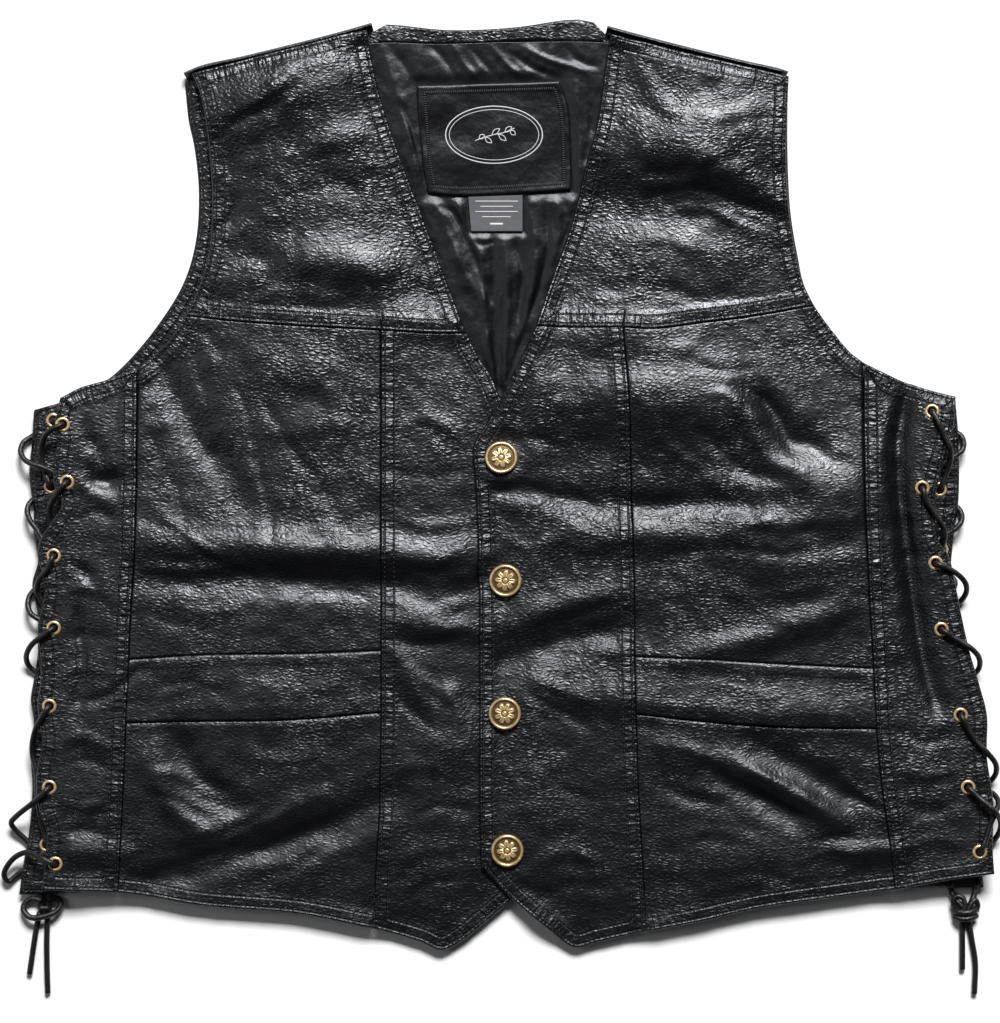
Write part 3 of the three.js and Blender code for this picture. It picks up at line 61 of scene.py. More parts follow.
ROLL_CENTRE = 5.5
LACE_RADIUS = 1.95
LACE_UNDER = 2.05
LACE_OVER = 3.5
LACE_BELOW = 3.0
BEND = 3.1
EYELET_BORE = 2.8
EYELET_BARREL = 3.4
EYELET_RADIUS = 5.1
EYELET_LIP = 0.9
EYELET_SIDES = 32
SNAP_RADIUS = 11.2
RIM_STEP = 1.6
GRID_STEP = 2.0
BACK_ROLL = 1.1
FAR_FROM_SEAM = 60.0
WELT_LIFT = 0.9
WELT_ROW = 9.4
TUCK_WIDTH = 2.1
TUCK_SLOPE = 0.42
STITCH_ROWS = (2.5, 8.8)
STITCH_PITCH = 3.3
MM_PER_PIXEL = 0.68
FRAME = (1000, 1023)
CAMERA_HEIGHT = 2.2
FLOOR_REACH = 4.0
FLOOR_GAP = 0.0003
SENSOR = 36
MID_HEIGHT = 0.010

# Outlines of the fronts, image left side, as (x, y) in millimetres before the shift
LEFT = {
    "side": [
        (-311, -276), (-309, -256), (-308, -237), (-312, -225), (-315, -208), (-314, -192), (-311, -176),
        (-314, -151), (-312, -134), (-312, -117), (-314, -98), (-310, -79), (-310, -64), (-314, -49),
        (-312, -38), (-304, -25), (-298, -14), (-303, -1), (-303, 13), (-301, 30), (-302, 42), (-299, 58),
    ],
    "seam": [
        (-260, -278), (-257, -229), (-254, -162), (-252, -119), (-251, -93), (-248, -38), (-247, 43),
        (-247, 78),
    ],
    "princess": [(-86, -303), (-85, -270), (-82, -215), (-81, -155), (-81, -113), (-81, 0), (-81, 104)],
    "placket": [
        (18, -275), (18, -181), (17, -79), (15, 2), (13, 27), (8, 40), (0, 58), (-7, 74), (-13, 83),
        (-23, 102),
    ],
    "hem_side": [(-311, -276), (-279, -277), (-260, -278)],
    "hem_middle": [(-260, -278), (-238, -281), (-204, -287), (-136, -293), (-86, -303)],
    "hem_centre": [(-86, -303), (-55, -312), (-40, -318), (-27, -312), (-13, -301), (0, -290), (18, -275)],
    "pocket_low": [(-254, -162), (-204, -161), (-143, -160), (-81, -155)],
    "pocket_top": [(-252, -119), (-204, -116), (-136, -115), (-81, -113)],
    "yoke_middle": [(-214, 114), (-177, 110), (-136, 107), (-81, 104)],
    "yoke_centre": [(-81, 104), (-48, 102), (-23, 102)],
    "arm_low": [(-247, 78), (-236, 87), (-225, 98), (-214, 114)],
    "arm_side": [(-299, 58), (-286, 65), (-269, 70), (-247, 78)],
    "arm_high": [
        (-214, 114), (-206, 132), (-200, 149), (-197, 166), (-196, 193), (-198, 227), (-202, 256),
        (-206, 271), (-210, 279),
    ],
    "neck": [
        (-23, 102), (-28, 115), (-42, 152), (-60, 200), (-70, 227), (-81, 261), (-88, 291), (-91, 309),
    ],
    "shoulder": [(-210, 279), (-164, 291), (-136, 298), (-109, 305), (-91, 309)],
    "fold": [(-216, 280), (-204, 285), (-177, 291), (-136, 301), (-109, 308), (-88, 314)],
}

# Image right side, whose placket lies on top
RIGHT = {
    "side": [
        (335, -265), (334, -249), (334, -215), (330, -185), (330, -157), (325, -137), (318, -113),
        (312, -86), (308, -66), (304, -49), (297, -38), (295, -11), (299, 9), (304, 26), (308, 43),
        (309, 59),
    ],
    "seam": [
        (268, -276), (265, -249), (259, -208), (255, -166), (253, -125), (250, -72), (247, 2), (247, 82),
    ],
    "princess": [
        (99, -305), (97, -263), (94, -215), (92, -156), (91, -117), (91, -79), (89, -15), (87, 57),
        (83, 106),
    ],
    "placket": [
        (-13, -260), (-14, -215), (-14, -106), (-15, -38), (-17, 2), (-18, 26), (-10, 40), (0, 58),
        (13, 84), (24, 107),
    ],
    "hem_side": [(335, -265), (299, -270), (268, -276)],
    "hem_middle": [(268, -276), (231, -281), (176, -289), (136, -298), (99, -305)],
    "hem_centre": [(99, -305), (68, -312), (50, -316), (34, -304), (7, -282), (-13, -260)],
    "pocket_low": [(255, -166), (190, -165), (136, -161), (92, -156)],
    "pocket_top": [(253, -125), (190, -122), (136, -119), (91, -117)],
    "yoke_middle": [(213, 121), (168, 113), (136, 109), (104, 105), (83, 106)],
    "yoke_centre": [(83, 106), (55, 106), (24, 107)],
    "arm_low": [(247, 82), (238, 89), (224, 106), (213, 121)],
    "arm_side": [(309, 59), (290, 64), (272, 70), (247, 82)],
    "arm_high": [(213, 121), (206, 136), (201, 155), (196, 186), (194, 227), (195, 254), (196, 277)],
    "neck": [(24, 107), (35, 138), (49, 179), (59, 220), (66, 247), (72, 288), (75, 306)],
    "shoulder": [(196, 277), (149, 288), (122, 294), (95, 301), (75, 306)],
    "fold": [(196, 281), (190, 283), (163, 289), (122, 299), (95, 306), (73, 312)],
}

# Outline of the back
BACK = {
    "hem": [(-328, -280), (-200, -277), (0, -276), (200, -277), (329, -275)],
    "side_left": [
        (-328, -280), (-325, -259), (-321, -236), (-319, -208), (-320, -181), (-318, -161), (-320, -147),
        (-318, -134), (-315, -113), (-316, -83), (-319, -69), (-315, -52), (-318, -34), (-318, -18),
        (-320, -4), (-321, 9), (-319, 30), (-318, 50),
    ],
    "arm_left": [
        (-318, 50), (-298, 56), (-270, 70), (-254, 84), (-232, 111), (-216, 138), (-208, 166), (-206, 200),
        (-209, 230), (-213, 249), (-216, 280),
    ],
    "side_right": [
        (329, -275), (327, -242), (323, -202), (321, -161), (311, -120), (306, -79), (308, -42), (312, -11),
        (312, 30), (310, 57),
    ],
    "arm_right": [
        (310, 57), (272, 68), (249, 78), (226, 104), (208, 134), (203, 155), (198, 186), (196, 227),
        (196, 254), (196, 281),
    ],
    "neck": [(-88, 314), (-68, 313), (-41, 310), (-14, 310), (13, 312), (54, 317), (73, 312)],
}

# Largest folds: x1, y1, x2, y2, width, height
FOLDS = [
    (-204, 274, -95, 296, 9, 1.6), (-197, 247, -143, 271, 13, -3), (-143, 271, -95, 286, 11, -2.5),
    (-150, 168, -85, 170, 34, 3.5), (-180, 182, -189, 158, 9, -2.5), (-201, 104, -177, 56, 11, -2.6),
    (-177, 56, -153, -38, 11, -2.8), (-160, 57, -116, -11, 11, 2.6), (-157, -26, -116, -34, 13, 4.2),
    (-245, -43, -164, -55, 12, -3.6), (-164, -55, -20, -64, 13, -4.2), (-48, -20, -22, -30, 13, 3.4),
    (-240, 2, -204, -40, 10, -2.6), (-220, -50, -206, -46, 10, 2.8), (-216, -80, -90, -84, 13, 2.2),
    (-66, -88, -40, -84, 12, 3), (-66, -112, -36, -148, 11, 2.8), (-62, -208, -58, -212, 20, 3.4),
    (-36, -216, -34, -236, 12, -2.4), (-226, -192, -194, -214, 15, 3.8),
    (-211, -249, -116, -208, 13, -3.8), (-116, -208, -84, -195, 12, -2.8),
    (-180, -240, -110, -262, 14, 2.4), (-272, 22, -262, 14, 11, -2.4),
    (-272, -144, -240, -123, 10, -2.6), (120, 262, 160, 246, 26, 2.8), (80, 216, 136, 208, 16, -3.6),
    (136, 198, 193, 180, 10, -2.6), (76, 120, 148, 88, 16, 3.2), (156, 72, 196, 16, 12, 4.2),
    (178, 60, 188, 40, 10, -2.6), (148, 4, 198, 6, 12, -3.8), (98, -26, 240, -28, 14, 4.2),
    (12, 36, 44, 28, 12, -2.4), (0, -2, 78, -16, 13, 3.4), (28, -98, 90, -78, 13, -4),
    (60, -112, 74, -116, 12, 3), (110, -62, 230, -70, 16, -2.6), (140, -100, 190, -102, 18, 2.6),
    (152, -178, 170, -186, 12, 3.6), (170, -186, 250, -226, 13, 4.4),
    (136, -188, 176, -208, 11, -3.2), (176, -208, 212, -226, 11, -3.4),
    (102, -206, 136, -216, 12, -2.6), (196, -252, 256, -240, 14, 2.6), (30, -140, 60, -250, 20, 1.8),
    (275, 60, 268, 0, 10, -3.2), (268, 0, 276, -45, 10, -3.6), (276, -45, 294, -150, 10, -2.8),
]

# Eyelets: x, y of the front one, x, y of the back one
EYELETS = {
    "left": [
        (-297, 40, -304.5, 43), (-294, 1, -306, -2), (-303, -49, -304, -36), (-303, -98, -303, -84),
        (-306, -151, -305, -139), (-306, -206, -306, -193), (-302, -258, -309, -246),
    ],
    "right": [
        (293, 49, 298.5, 43.5), (286, -3, 299, -4), (295, -54, 300, -45), (299, -99, 300, -91),
        (312, -157, 305, -143), (317, -206, 310, -216), (325, -250, 314, -246),
    ],
}
SNAPS = [(0.5, 17), (3.5, -66), (3, -156), (4.5, -249)]
# Pieces that show inside the neck
INSIDE = {
    "lining_low": [(-70, 4), (70, 4)],
    "lining_top": [(-98, 296), (-84, 299.3), (-41, 298.6), (13, 300), (72, 299.3), (84, 296)],
    "lining_left": [(-70, 4), (-80, 150), (-98, 297)],
    "lining_right": [(70, 4), (76, 150), (84, 297)],
    "facing_low": [(-84, 301), (-41, 300), (-14, 300.3), (13, 302), (71, 301)],
    "facing_top": [
        (-81, 307), (-66, 311), (-41, 308.8), (-14, 308.6), (13, 310.6), (50, 315), (60, 312), (68, 306.4),
    ],
    "label_low": [(-49, 198), (-31, 196), (20, 198), (48, 200)],
    "label_top": [(-57, 271), (40, 274)],
    "label_left": [(-49, 198), (-53, 220), (-56, 254), (-57, 271)],
    "label_right": [(48, 200), (48, 217), (46, 254), (40, 274)],
    "tab_low": [(-20, 172), (15, 172)],
    "tab_top": [(-22, 195.3), (15, 196.6)],
}

# How the laces run: an eyelet as (face, number, goes up, starts there), or a point of the centre line
LACES = {
    "left": [
        [
            ("back", 1, 0, 1), (-315, 35, 2.05), (-320.5, 31.5, 2.6), (-325.2, 28, 4.6),
            (-326.7, 22, 7.6), (-324, 16.7, 10.2), (-318.6, 13.3, 12.4), (-311.8, 11.2, 13.5),
            (-305.5, 8.4, 12.3), ("front", 2, 1, 0), (-300, -5.8, 19), (-303, -11, 18.6),
            (-306, -17.2, 15), (-305.5, -24.5, 11), ("back", 3, 0, 0), (-311, -64, 2.05),
            (-316.5, -71, 2.4), (-321, -76.5, 3.8), (-322, -82.5, 6.4), (-319.5, -88.5, 9.2),
            (-313.5, -92.5, 10), ("front", 4, 1, 0), (-308.5, -102.3, 18.8), (-314.5, -106.4, 18.2),
            (-319.3, -111, 14.8), (-322.7, -118, 8.6), (-321.5, -124.5, 3.9), (-316, -129.5, 2.05),
            ("back", 5, 1, 0), (-304.5, -160, 10), (-305, -185, 10.4), ("front", 6, 1, 0),
            (-311.8, -212.5, 19), (-317.5, -217, 17.6), (-330, -227, 10), (-333.2, -231, 7),
            (-330.5, -236.5, 4.4), (-324, -243, 2.4), (-315, -256, 2.05), (-308, -271, 2.05),
            (-307.5, -278.3, 2.3),
        ],
        [
            ("front", 1, 1, 1), (-304.5, 36.2, 18.6), (-309.5, 31.5, 15.5), (-312, 24, 11),
            (-312, 15.5, 9.1), (-309.8, 7, 9.3), ("back", 2, 0, 0), (-314.5, -9, 2.05),
            (-320, -12, 3), (-322.4, -17.5, 6.3), (-320.4, -24.5, 9), (-315.5, -31, 10),
            (-311.5, -37.5, 10.8), ("front", 3, 1, 0), (-306.8, -58, 19), (-312.4, -65, 18),
            (-315, -73, 12.8), (-311, -81, 11), (-309.2, -89.5, 10.2), (-312.4, -101, 10.2),
            (-312, -120, 10.2), ("front", 5, 1, 0), (-311, -159, 18.8), (-315, -166.3, 17),
            (-318, -176, 12.4), (-318.2, -184.6, 10.2), (-315.5, -196, 10.4), (-314.5, -215, 10.4),
            (-310, -238, 10.4), ("front", 7, 1, 0), (-309.5, -254.5, 18.4), (-314, -253, 16),
            (-321.5, -250.6, 12), (-330, -254, 9), (-336.5, -261.5, 7), (-338.3, -267, 5.5),
            (-335.5, -271.5, 3.6), (-331, -268, 2.4), (-325, -264, 2.05), (-318, -268.5, 2.05),
            (-314.2, -273, 2.05), (-314, -278.3, 2.3),
        ],
    ],
    "right": [
        [
            ("back", 1, 0, 1), (309, 36, 2.05), (314.2, 32.4, 3), (315.6, 27.5, 5.8),
            (314.2, 22.8, 8.8), (309.4, 18.8, 9.4), (304.3, 16, 9.2), (296.5, 9, 10),
            ("front", 2, 1, 0), (288.2, -11.5, 19), (292.5, -18, 18.5), (297, -24.8, 18),
            (300.4, -30, 15.2), (301.6, -36, 13.8), ("back", 3, 0, 0), (301.5, -57, 2.05),
            (307, -62.5, 2.6), (309.7, -67.5, 5.8), (307, -73, 9), (299.5, -79, 9.4),
            (294.5, -88, 10.4), ("front", 4, 1, 0), (305.8, -103.8, 18.8), (312.5, -107.8, 18.5),
            (319.3, -112.2, 18.3), (324.8, -118.2, 13.6), (325.8, -125.5, 7.5), (321.5, -131.5, 3.2),
            (315, -136.5, 2.05), ("back", 5, 1, 0), (303, -160, 10), (306, -185, 10.4),
            ("front", 6, 1, 0), (322.7, -211.8, 20.2), (328.6, -216.8, 22.2), (334.2, -222, 22.6),
            (338.6, -228, 17), (339.8, -235.2, 10), (337, -242.5, 4.6), (331, -248.5, 2.2),
            (327, -262, 2.05), (324.3, -273.6, 2.2),
        ],
        [
            ("front", 1, 1, 1), (297, 40.8, 18.9), (300.4, 33, 18.6), (304.4, 24.4, 18.4),
            (305.4, 16, 14.4), (303.4, 7.5, 11.2), ("back", 2, 0, 0), (306, -12.5, 2.05),
            (312.6, -17.2, 2.6), (314.4, -22, 5.4), (313.2, -26.6, 8.6), (309.2, -31, 9.4),
            (305.5, -33.4, 9.1), (299.5, -36.6, 9.1), (295, -42, 10.4), ("front", 3, 1, 0),
            (302.3, -57.2, 18.6), (309, -61, 17.4), (315.2, -67, 14.4), (317, -73.5, 8.8),
            (314, -80, 3.9), (309, -84.5, 2.05), ("back", 4, 1, 0), (306, -106, 10),
            (313.5, -130, 10), (313.8, -143, 10), ("front", 5, 1, 0), (316, -165, 19),
            (322, -174.5, 18.6), (329.8, -182.6, 18.7), (336, -190.2, 14.2), (337, -197.6, 8),
            (333, -204, 3.5), (326, -208.6, 2.05), ("back", 6, 1, 0), (310, -228, 10),
            (316, -241, 10.4), ("front", 7, 1, 0), (328.9, -240.4, 18.8), (331.6, -232, 18.4),
            (334.6, -224, 18.6), (337.9, -218.6, 14), (337.6, -213.6, 8), (333.5, -210.4, 3.8),
            (328, -214, 2.05), (319, -232, 2.05), (311, -255, 2.05), (307, -272, 2.05),
            (307.5, -278.3, 2.2),
        ],
    ],
}

# Knots: tubes as (radius, points)
KNOTS = {
    "left": [
        (2.5, [(-314, -278.8, 2.6), (-313, -292, 2.6)]),
        (2.5, [(-307.5, -278.8, 2.6), (-308.6, -292, 2.6)]),
        (2.1, [
            (-313, -284.5, 4.4), (-319, -283.2, 3.6), (-324, -286, 3.6), (-325.2, -290.5, 4.8),
            (-320, -295.6, 6.4), (-310, -294.6, 6.6), (-302, -291, 5.2), (-299.7, -286, 3.8),
            (-303, -282.6, 3.6), (-308.4, -284.5, 4.4),
        ]),
        (2.2, [(-313.4, -289.5, 4.6), (-308.3, -289.5, 4.6)]),
    ],
    "right": [
        (3.2, [(316.8, -288.5, 3.8), (316.8, -296.4, 3.8)]),
        (2, [(307.6, -278.9, 2.3), (310.5, -284, 4), (314.5, -288.5, 5), (316, -293, 4.6)]),
        (2, [(324.2, -274.2, 2.3), (323, -281, 3.6), (319.8, -287.5, 5.4), (318.4, -293, 4.6)]),
        (2.2, [
            (309, -291, 3.6), (312.5, -292, 6.4), (317, -292.4, 7.6), (321.5, -291.4, 6.4),
            (325, -290, 3.6),
        ]),
        (2.1, [
            (309.5, -295.2, 3.4), (313, -296.4, 6), (317.2, -296.6, 7), (321.4, -295.8, 6),
            (324.6, -294.6, 3.4),
        ]),
        (1.9, [
            (311, -291, 4.2), (308.6, -286, 4.8), (310.4, -281.5, 5.2), (314.8, -282.4, 5.6),
            (316.4, -287.2, 6.2), (315.6, -291.5, 6.6),
        ]),
        (1.9, [
            (318.4, -291.5, 6.6), (320.5, -286.6, 6.2), (323.4, -283.8, 5.4), (325.3, -287.2, 4.6),
            (324.2, -291.4, 4.2),
        ]),
    ],
}

# Free ends of the laces
TAILS = {
    "left_1": [(-314.6, -292.5, 1.95), (-317, -305, 1.95), (-319.6, -322, 1.95), (-321.4, -334.6, 1.95)],
    "left_2": [(-308.9, -292.5, 1.95), (-309.6, -310, 1.95), (-309.5, -330, 1.95), (-309, -347.6, 1.95)],
    "right_1": [(314.9, -296.8, 1.95), (315.2, -310, 1.95), (315.2, -331.5, 1.95)],
    "right_2": [(319.3, -296.8, 1.95), (321.6, -311, 1.95), (324, -327, 1.95), (323.4, -348, 1.95)],
}


# Broad soft folds, which take the place of those of the solids: points in pixels, width and height
# in millimetres. A ridge catches the light on the side that faces the top of the picture.
BROAD = [
    ([(198, 114), (250, 100), (300, 88), (352, 76)], 20, 5.0),
    ([(296, 262), (340, 264), (402, 272)], 14, 4.2),
    ([(212, 276), (262, 286)], 14, 2.2),
    ([(390, 319), (462, 323)], 10, 2.4),
    ([(300, 130), (345, 140), (382, 160)], 18, 2.2),
    ([(154, 350), (171, 388), (196, 432), (224, 476), (244, 504)], 10, -3.6),
    ([(286, 424), (338, 430)], 12, 2.0),
    ([(255, 350), (285, 372), (330, 372)], 14, 1.6),
    ([(140, 543), (200, 546), (259, 549), (380, 552), (468, 556)], 13, 4.0),
    ([(250, 546), (300, 550), (372, 550)], 12, 1.8),
    ([(140, 576), (259, 579), (380, 584), (470, 584)], 11, -3.8),
    ([(146, 568), (190, 570), (236, 566)], 4, 1.8),
    ([(398, 566), (435, 570), (472, 568)], 14, 3.0),
    ([(394, 620), (435, 627), (472, 630)], 9, 3.4),
    ([(396, 650), (411, 680), (428, 708)], 7, 2.4),
    ([(446, 684), (463, 724)], 6, 2.0),
    ([(425, 746), (476, 734)], 18, 3.0),
    ([(235, 702), (302, 704)], 18, 2.4),
    ([(178, 735), (192, 768), (215, 792), (242, 808)], 9, -4.2),
    ([(152, 752), (167, 795), (194, 824), (222, 842)], 9, 3.0),
    ([(148, 882), (215, 860), (285, 841), (345, 819), (392, 794)], 10, -5.0),
    ([(180, 845), (250, 822), (320, 796)], 9, 1.8),
    ([(84, 480), (106, 482), (126, 478)], 8, -3.2),
    ([(78, 610), (82, 655), (78, 702)], 4, -2.4),
    ([(62, 850), (126, 852)], 10, 2.6),
    ([(60, 896), (122, 898)], 9, 2.6),
    ([(590, 140), (650, 144), (720, 142), (792, 130)], 26, 5.4),
    ([(690, 158), (735, 176), (792, 208)], 12, 3.4),
    ([(588, 204), (650, 206), (722, 212)], 18, -4.2),
    ([(543, 332), (600, 334), (642, 332)], 16, 4.4),
    ([(528, 394), (600, 396), (680, 398), (742, 404)], 30, 8.0),
    ([(733, 404), (752, 430), (770, 460), (798, 470)], 7, 3.0),
    ([(752, 388), (772, 412), (790, 440), (814, 446)], 8, -3.6),
    ([(498, 490), (560, 500), (640, 506), (802, 502)], 9, -3.2),
    ([(492, 500), (540, 505), (575, 512)], 8, 2.4),
    ([(556, 530), (640, 534), (742, 534)], 12, 3.6),
    ([(740, 558), (800, 562), (862, 566)], 20, 4.2),
    ([(752, 516), (800, 500), (862, 494)], 26, 6.0),
    ([(498, 626), (560, 606), (624, 590)], 10, 2.4),
    ([(503, 662), (565, 642), (638, 624)], 12, -4.4),
    ([(565, 692), (642, 696)], 14, 2.8),
    ([(678, 658), (765, 634), (852, 606)], 10, 3.2),
    ([(640, 704), (750, 710), (872, 714)], 12, 2.8),
    ([(752, 742), (800, 768), (856, 802)], 9, -3.4),
    ([(726, 757), (770, 782), (812, 806), (842, 824)], 7, 4.2),
    ([(708, 770), (756, 798), (804, 826)], 7, -3.4),
    ([(645, 742), (690, 752), (720, 770)], 12, 1.6),
    ([(842, 848), (906, 850)], 7, 2.6),
    ([(898, 892), (956, 894)], 9, 3.0),
    ([(660, 870), (730, 864), (800, 872)], 16, 1.8),
    ([(908, 384), (900, 440), (902, 520), (912, 590), (922, 650), (936, 706)], 7, -5.6),
]

# Creases, placed by pixels of the photograph's frame: points, width and height in millimetres
CREASES = [
    ([(205, 330), (226, 370), (243, 408), (256, 450), (264, 490), (274, 535)], 3.2, -1.3),
    ([(212, 345), (232, 385), (248, 425), (262, 470)], 3.0, 1.0),
    ([(262, 398), (290, 445), (316, 480), (338, 510)], 4.0, -1.0),
    ([(190, 340), (202, 385), (216, 430), (232, 476)], 4.2, -0.9),
    ([(300, 345), (320, 380), (336, 420), (342, 450)], 5.0, 0.6),
    ([(150, 440), (168, 470), (182, 505), (186, 535)], 3.6, -1.0),
    ([(150, 500), (170, 520), (200, 545), (235, 560)], 4.2, 1.2),
    ([(146, 520), (180, 535), (215, 562), (262, 578)], 3.0, -1.0),
    ([(160, 590), (182, 584), (206, 592)], 2.6, -0.8),
    ([(176, 604), (204, 612), (240, 610)], 3.4, 0.7),
    ([(146, 612), (170, 622), (205, 628)], 3.0, -0.6),
    ([(270, 560), (310, 572), (352, 575)], 3.4, 0.8),
    ([(280, 540), (318, 530), (352, 533)], 4.2, 0.8),
    ([(300, 600), (330, 592), (366, 596)], 3.6, -0.8),
    ([(212, 232), (230, 218), (238, 200)], 3.2, -1.2),
    ([(216, 240), (232, 236), (250, 222)], 3.2, 1.0),
    ([(222, 270), (246, 258), (276, 262)], 4.4, -0.7),
    ([(214, 140), (240, 122), (270, 108), (300, 86)], 4.4, -1.2),
    ([(222, 118), (258, 102), (300, 70), (346, 58)], 4.0, 0.9),
    ([(206, 90), (240, 78), (280, 66)], 3.6, -0.8),
    ([(300, 160), (330, 140), (362, 136)], 6.0, 0.7),
    ([(290, 196), (330, 186), (372, 196)], 5.4, -0.7),
    ([(250, 300), (290, 292), (340, 300)], 5.0, 0.7),
    ([(380, 260), (410, 282), (440, 300)], 5.0, -0.7),
    ([(398, 432), (430, 420), (466, 440)], 5.0, 0.8),
    ([(392, 470), (425, 478), (462, 470)], 4.4, -0.7),
    ([(400, 520), (430, 526), (470, 520)], 4.6, 0.9),
    ([(392, 566), (430, 572), (474, 566)], 4.6, -1.2),
    ([(396, 604), (426, 612), (462, 602)], 4.4, 0.9),
    ([(392, 640), (428, 644), (470, 634)], 4.2, -1.0),
    ([(396, 654), (420, 676), (452, 700), (470, 706)], 3.4, 0.9),
    ([(390, 690), (418, 716), (450, 742)], 3.6, -0.8),
    ([(398, 770), (424, 764), (452, 776)], 4.6, 0.8),
    ([(410, 820), (440, 806), (472, 812)], 3.8, -0.9),
    ([(392, 876), (420, 852), (452, 848)], 4.2, 0.7),
    ([(402, 900), (430, 884), (468, 878)], 3.6, -0.6),
    ([(150, 770), (178, 772), (206, 792), (238, 800)], 4.0, 1.2),
    ([(148, 792), (176, 800), (206, 818)], 3.4, -1.0),
    ([(160, 850), (196, 844), (236, 828), (280, 806)], 4.0, -1.3),
    ([(176, 872), (230, 856), (286, 830), (340, 806)], 4.2, 1.0),
    ([(250, 884), (296, 866), (340, 838), (374, 826)], 3.8, -0.8),
    ([(230, 748), (270, 760), (320, 758)], 4.4, 0.7),
    ([(240, 676), (290, 690), (344, 682)], 5.0, 0.6),
    ([(150, 690), (190, 682), (228, 694)], 3.6, -0.6),
    ([(84, 430), (100, 456), (112, 488)], 4.6, -1.6),
    ([(76, 470), (92, 490), (112, 500)], 4.6, 1.6),
    ([(78, 520), (98, 512), (118, 520)], 3.6, -1.0),
    ([(70, 560), (88, 576), (104, 600)], 3.4, -1.4),
    ([(72, 590), (92, 588), (116, 604)], 3.4, 1.2),
    ([(66, 640), (86, 634), (112, 640)], 3.4, -0.9),
    ([(64, 672), (90, 668), (120, 676)], 3.6, 1.0),
    ([(84, 700), (112, 694), (140, 668)], 3.4, -1.4),
    ([(60, 740), (86, 736), (112, 748)], 3.6, 0.9),
    ([(60, 766), (88, 760), (116, 770)], 3.2, -0.8),
    ([(64, 800), (86, 806), (108, 800)], 3.2, 0.9),
    ([(66, 836), (86, 828), (112, 838)], 3.2, -0.9),
    ([(636, 60), (668, 110), (720, 118), (764, 104)], 6.0, 1.0),
    ([(622, 150), (656, 172), (706, 170), (746, 150)], 5.4, -1.2),
    ([(648, 196), (700, 190), (742, 206), (784, 216)], 3.6, -1.2),
    ([(660, 214), (702, 208), (744, 226), (782, 240)], 4.2, 1.0),
    ([(620, 250), (660, 240), (704, 252)], 5.4, 0.7),
    ([(604, 296), (650, 286), (700, 300), (744, 292)], 5.0, -0.7),
    ([(586, 296), (618, 300), (640, 290)], 4.6, 0.9),
    ([(650, 352), (692, 350), (724, 376)], 5.4, 1.0),
    ([(700, 366), (728, 372), (760, 366)], 3.4, -1.1),
    ([(712, 392), (740, 400), (764, 430), (788, 462)], 3.8, 1.5),
    ([(730, 388), (764, 400), (786, 424)], 3.2, -1.4),
    ([(700, 430), (722, 452), (748, 474), (790, 482)], 4.4, -1.4),
    ([(660, 440), (690, 462), (722, 490)], 4.4, 0.9),
    ([(800, 420), (816, 450), (848, 466)], 4.4, -0.9),
    ([(646, 526), (700, 514), (770, 524), (850, 518)], 5.0, 1.2),
    ([(660, 556), (720, 548), (790, 556), (852, 544)], 4.6, -0.9),
    ([(650, 600), (700, 588), (760, 596), (820, 584)], 4.6, 0.7),
    ([(700, 636), (750, 626), (810, 634)], 4.4, -0.7),
    ([(500, 446), (530, 438), (562, 446)], 3.8, -0.9),
    ([(492, 486), (526, 480), (560, 488)], 4.0, 0.9),
    ([(560, 476), (586, 494), (614, 508)], 3.6, 1.1),
    ([(556, 500), (582, 520), (612, 534)], 3.6, -1.0),
    ([(500, 540), (530, 548), (560, 540), (600, 552)], 4.4, 0.7),
    ([(540, 628), (576, 616), (622, 602)], 4.4, -1.3),
    ([(556, 652), (590, 646), (622, 652)], 4.4, 1.1),
    ([(530, 676), (560, 690), (596, 704)], 3.2, 0.9),
    ([(528, 694), (562, 712), (592, 730)], 3.2, -0.8),
    ([(500, 760), (520, 792), (512, 826)], 4.0, 0.8),
    ([(540, 760), (566, 790), (600, 800)], 4.4, -0.7),
    ([(530, 866), (566, 852), (604, 862)], 4.0, 0.8),
    ([(540, 900), (576, 884), (616, 892)], 3.8, -0.7),
    ([(656, 744), (700, 752), (742, 780)], 4.0, 1.2),
    ([(656, 784), (690, 798), (724, 804)], 3.8, -1.1),
    ([(742, 766), (790, 786), (836, 812)], 3.6, 1.3),
    ([(742, 788), (786, 808), (822, 822)], 3.0, -1.1),
    ([(668, 838), (716, 830), (764, 842)], 4.4, 0.7),
    ([(800, 862), (832, 850), (868, 858)], 3.2, 1.0),
    ([(806, 842), (838, 836), (872, 842)], 2.8, -0.8),
    ([(836, 792), (860, 800), (884, 812)], 2.8, -1.0),
    ([(842, 776), (862, 792), (876, 806)], 2.6, 0.9),
    ([(700, 880), (750, 872), (800, 884)], 3.8, -0.6),
    ([(660, 690), (710, 684), (770, 694), (840, 690)], 5.0, 0.6),
    ([(905, 400), (897, 440), (897, 480), (904, 520), (910, 556)], 4.2, -2.0),
    ([(910, 556), (914, 600), (922, 650), (936, 700)], 4.2, -1.6),
    ([(884, 410), (880, 460), (884, 520)], 4.2, 1.2),
    ([(888, 560), (894, 610), (900, 660)], 4.0, 0.9),
    ([(900, 730), (922, 742), (950, 736)], 3.6, -0.9),
    ([(902, 770), (926, 776), (956, 766)], 3.6, 0.9),
    ([(904, 806), (930, 812), (958, 802)], 3.4, -0.8),
    ([(908, 846), (934, 838), (962, 846)], 3.2, 0.8),
]

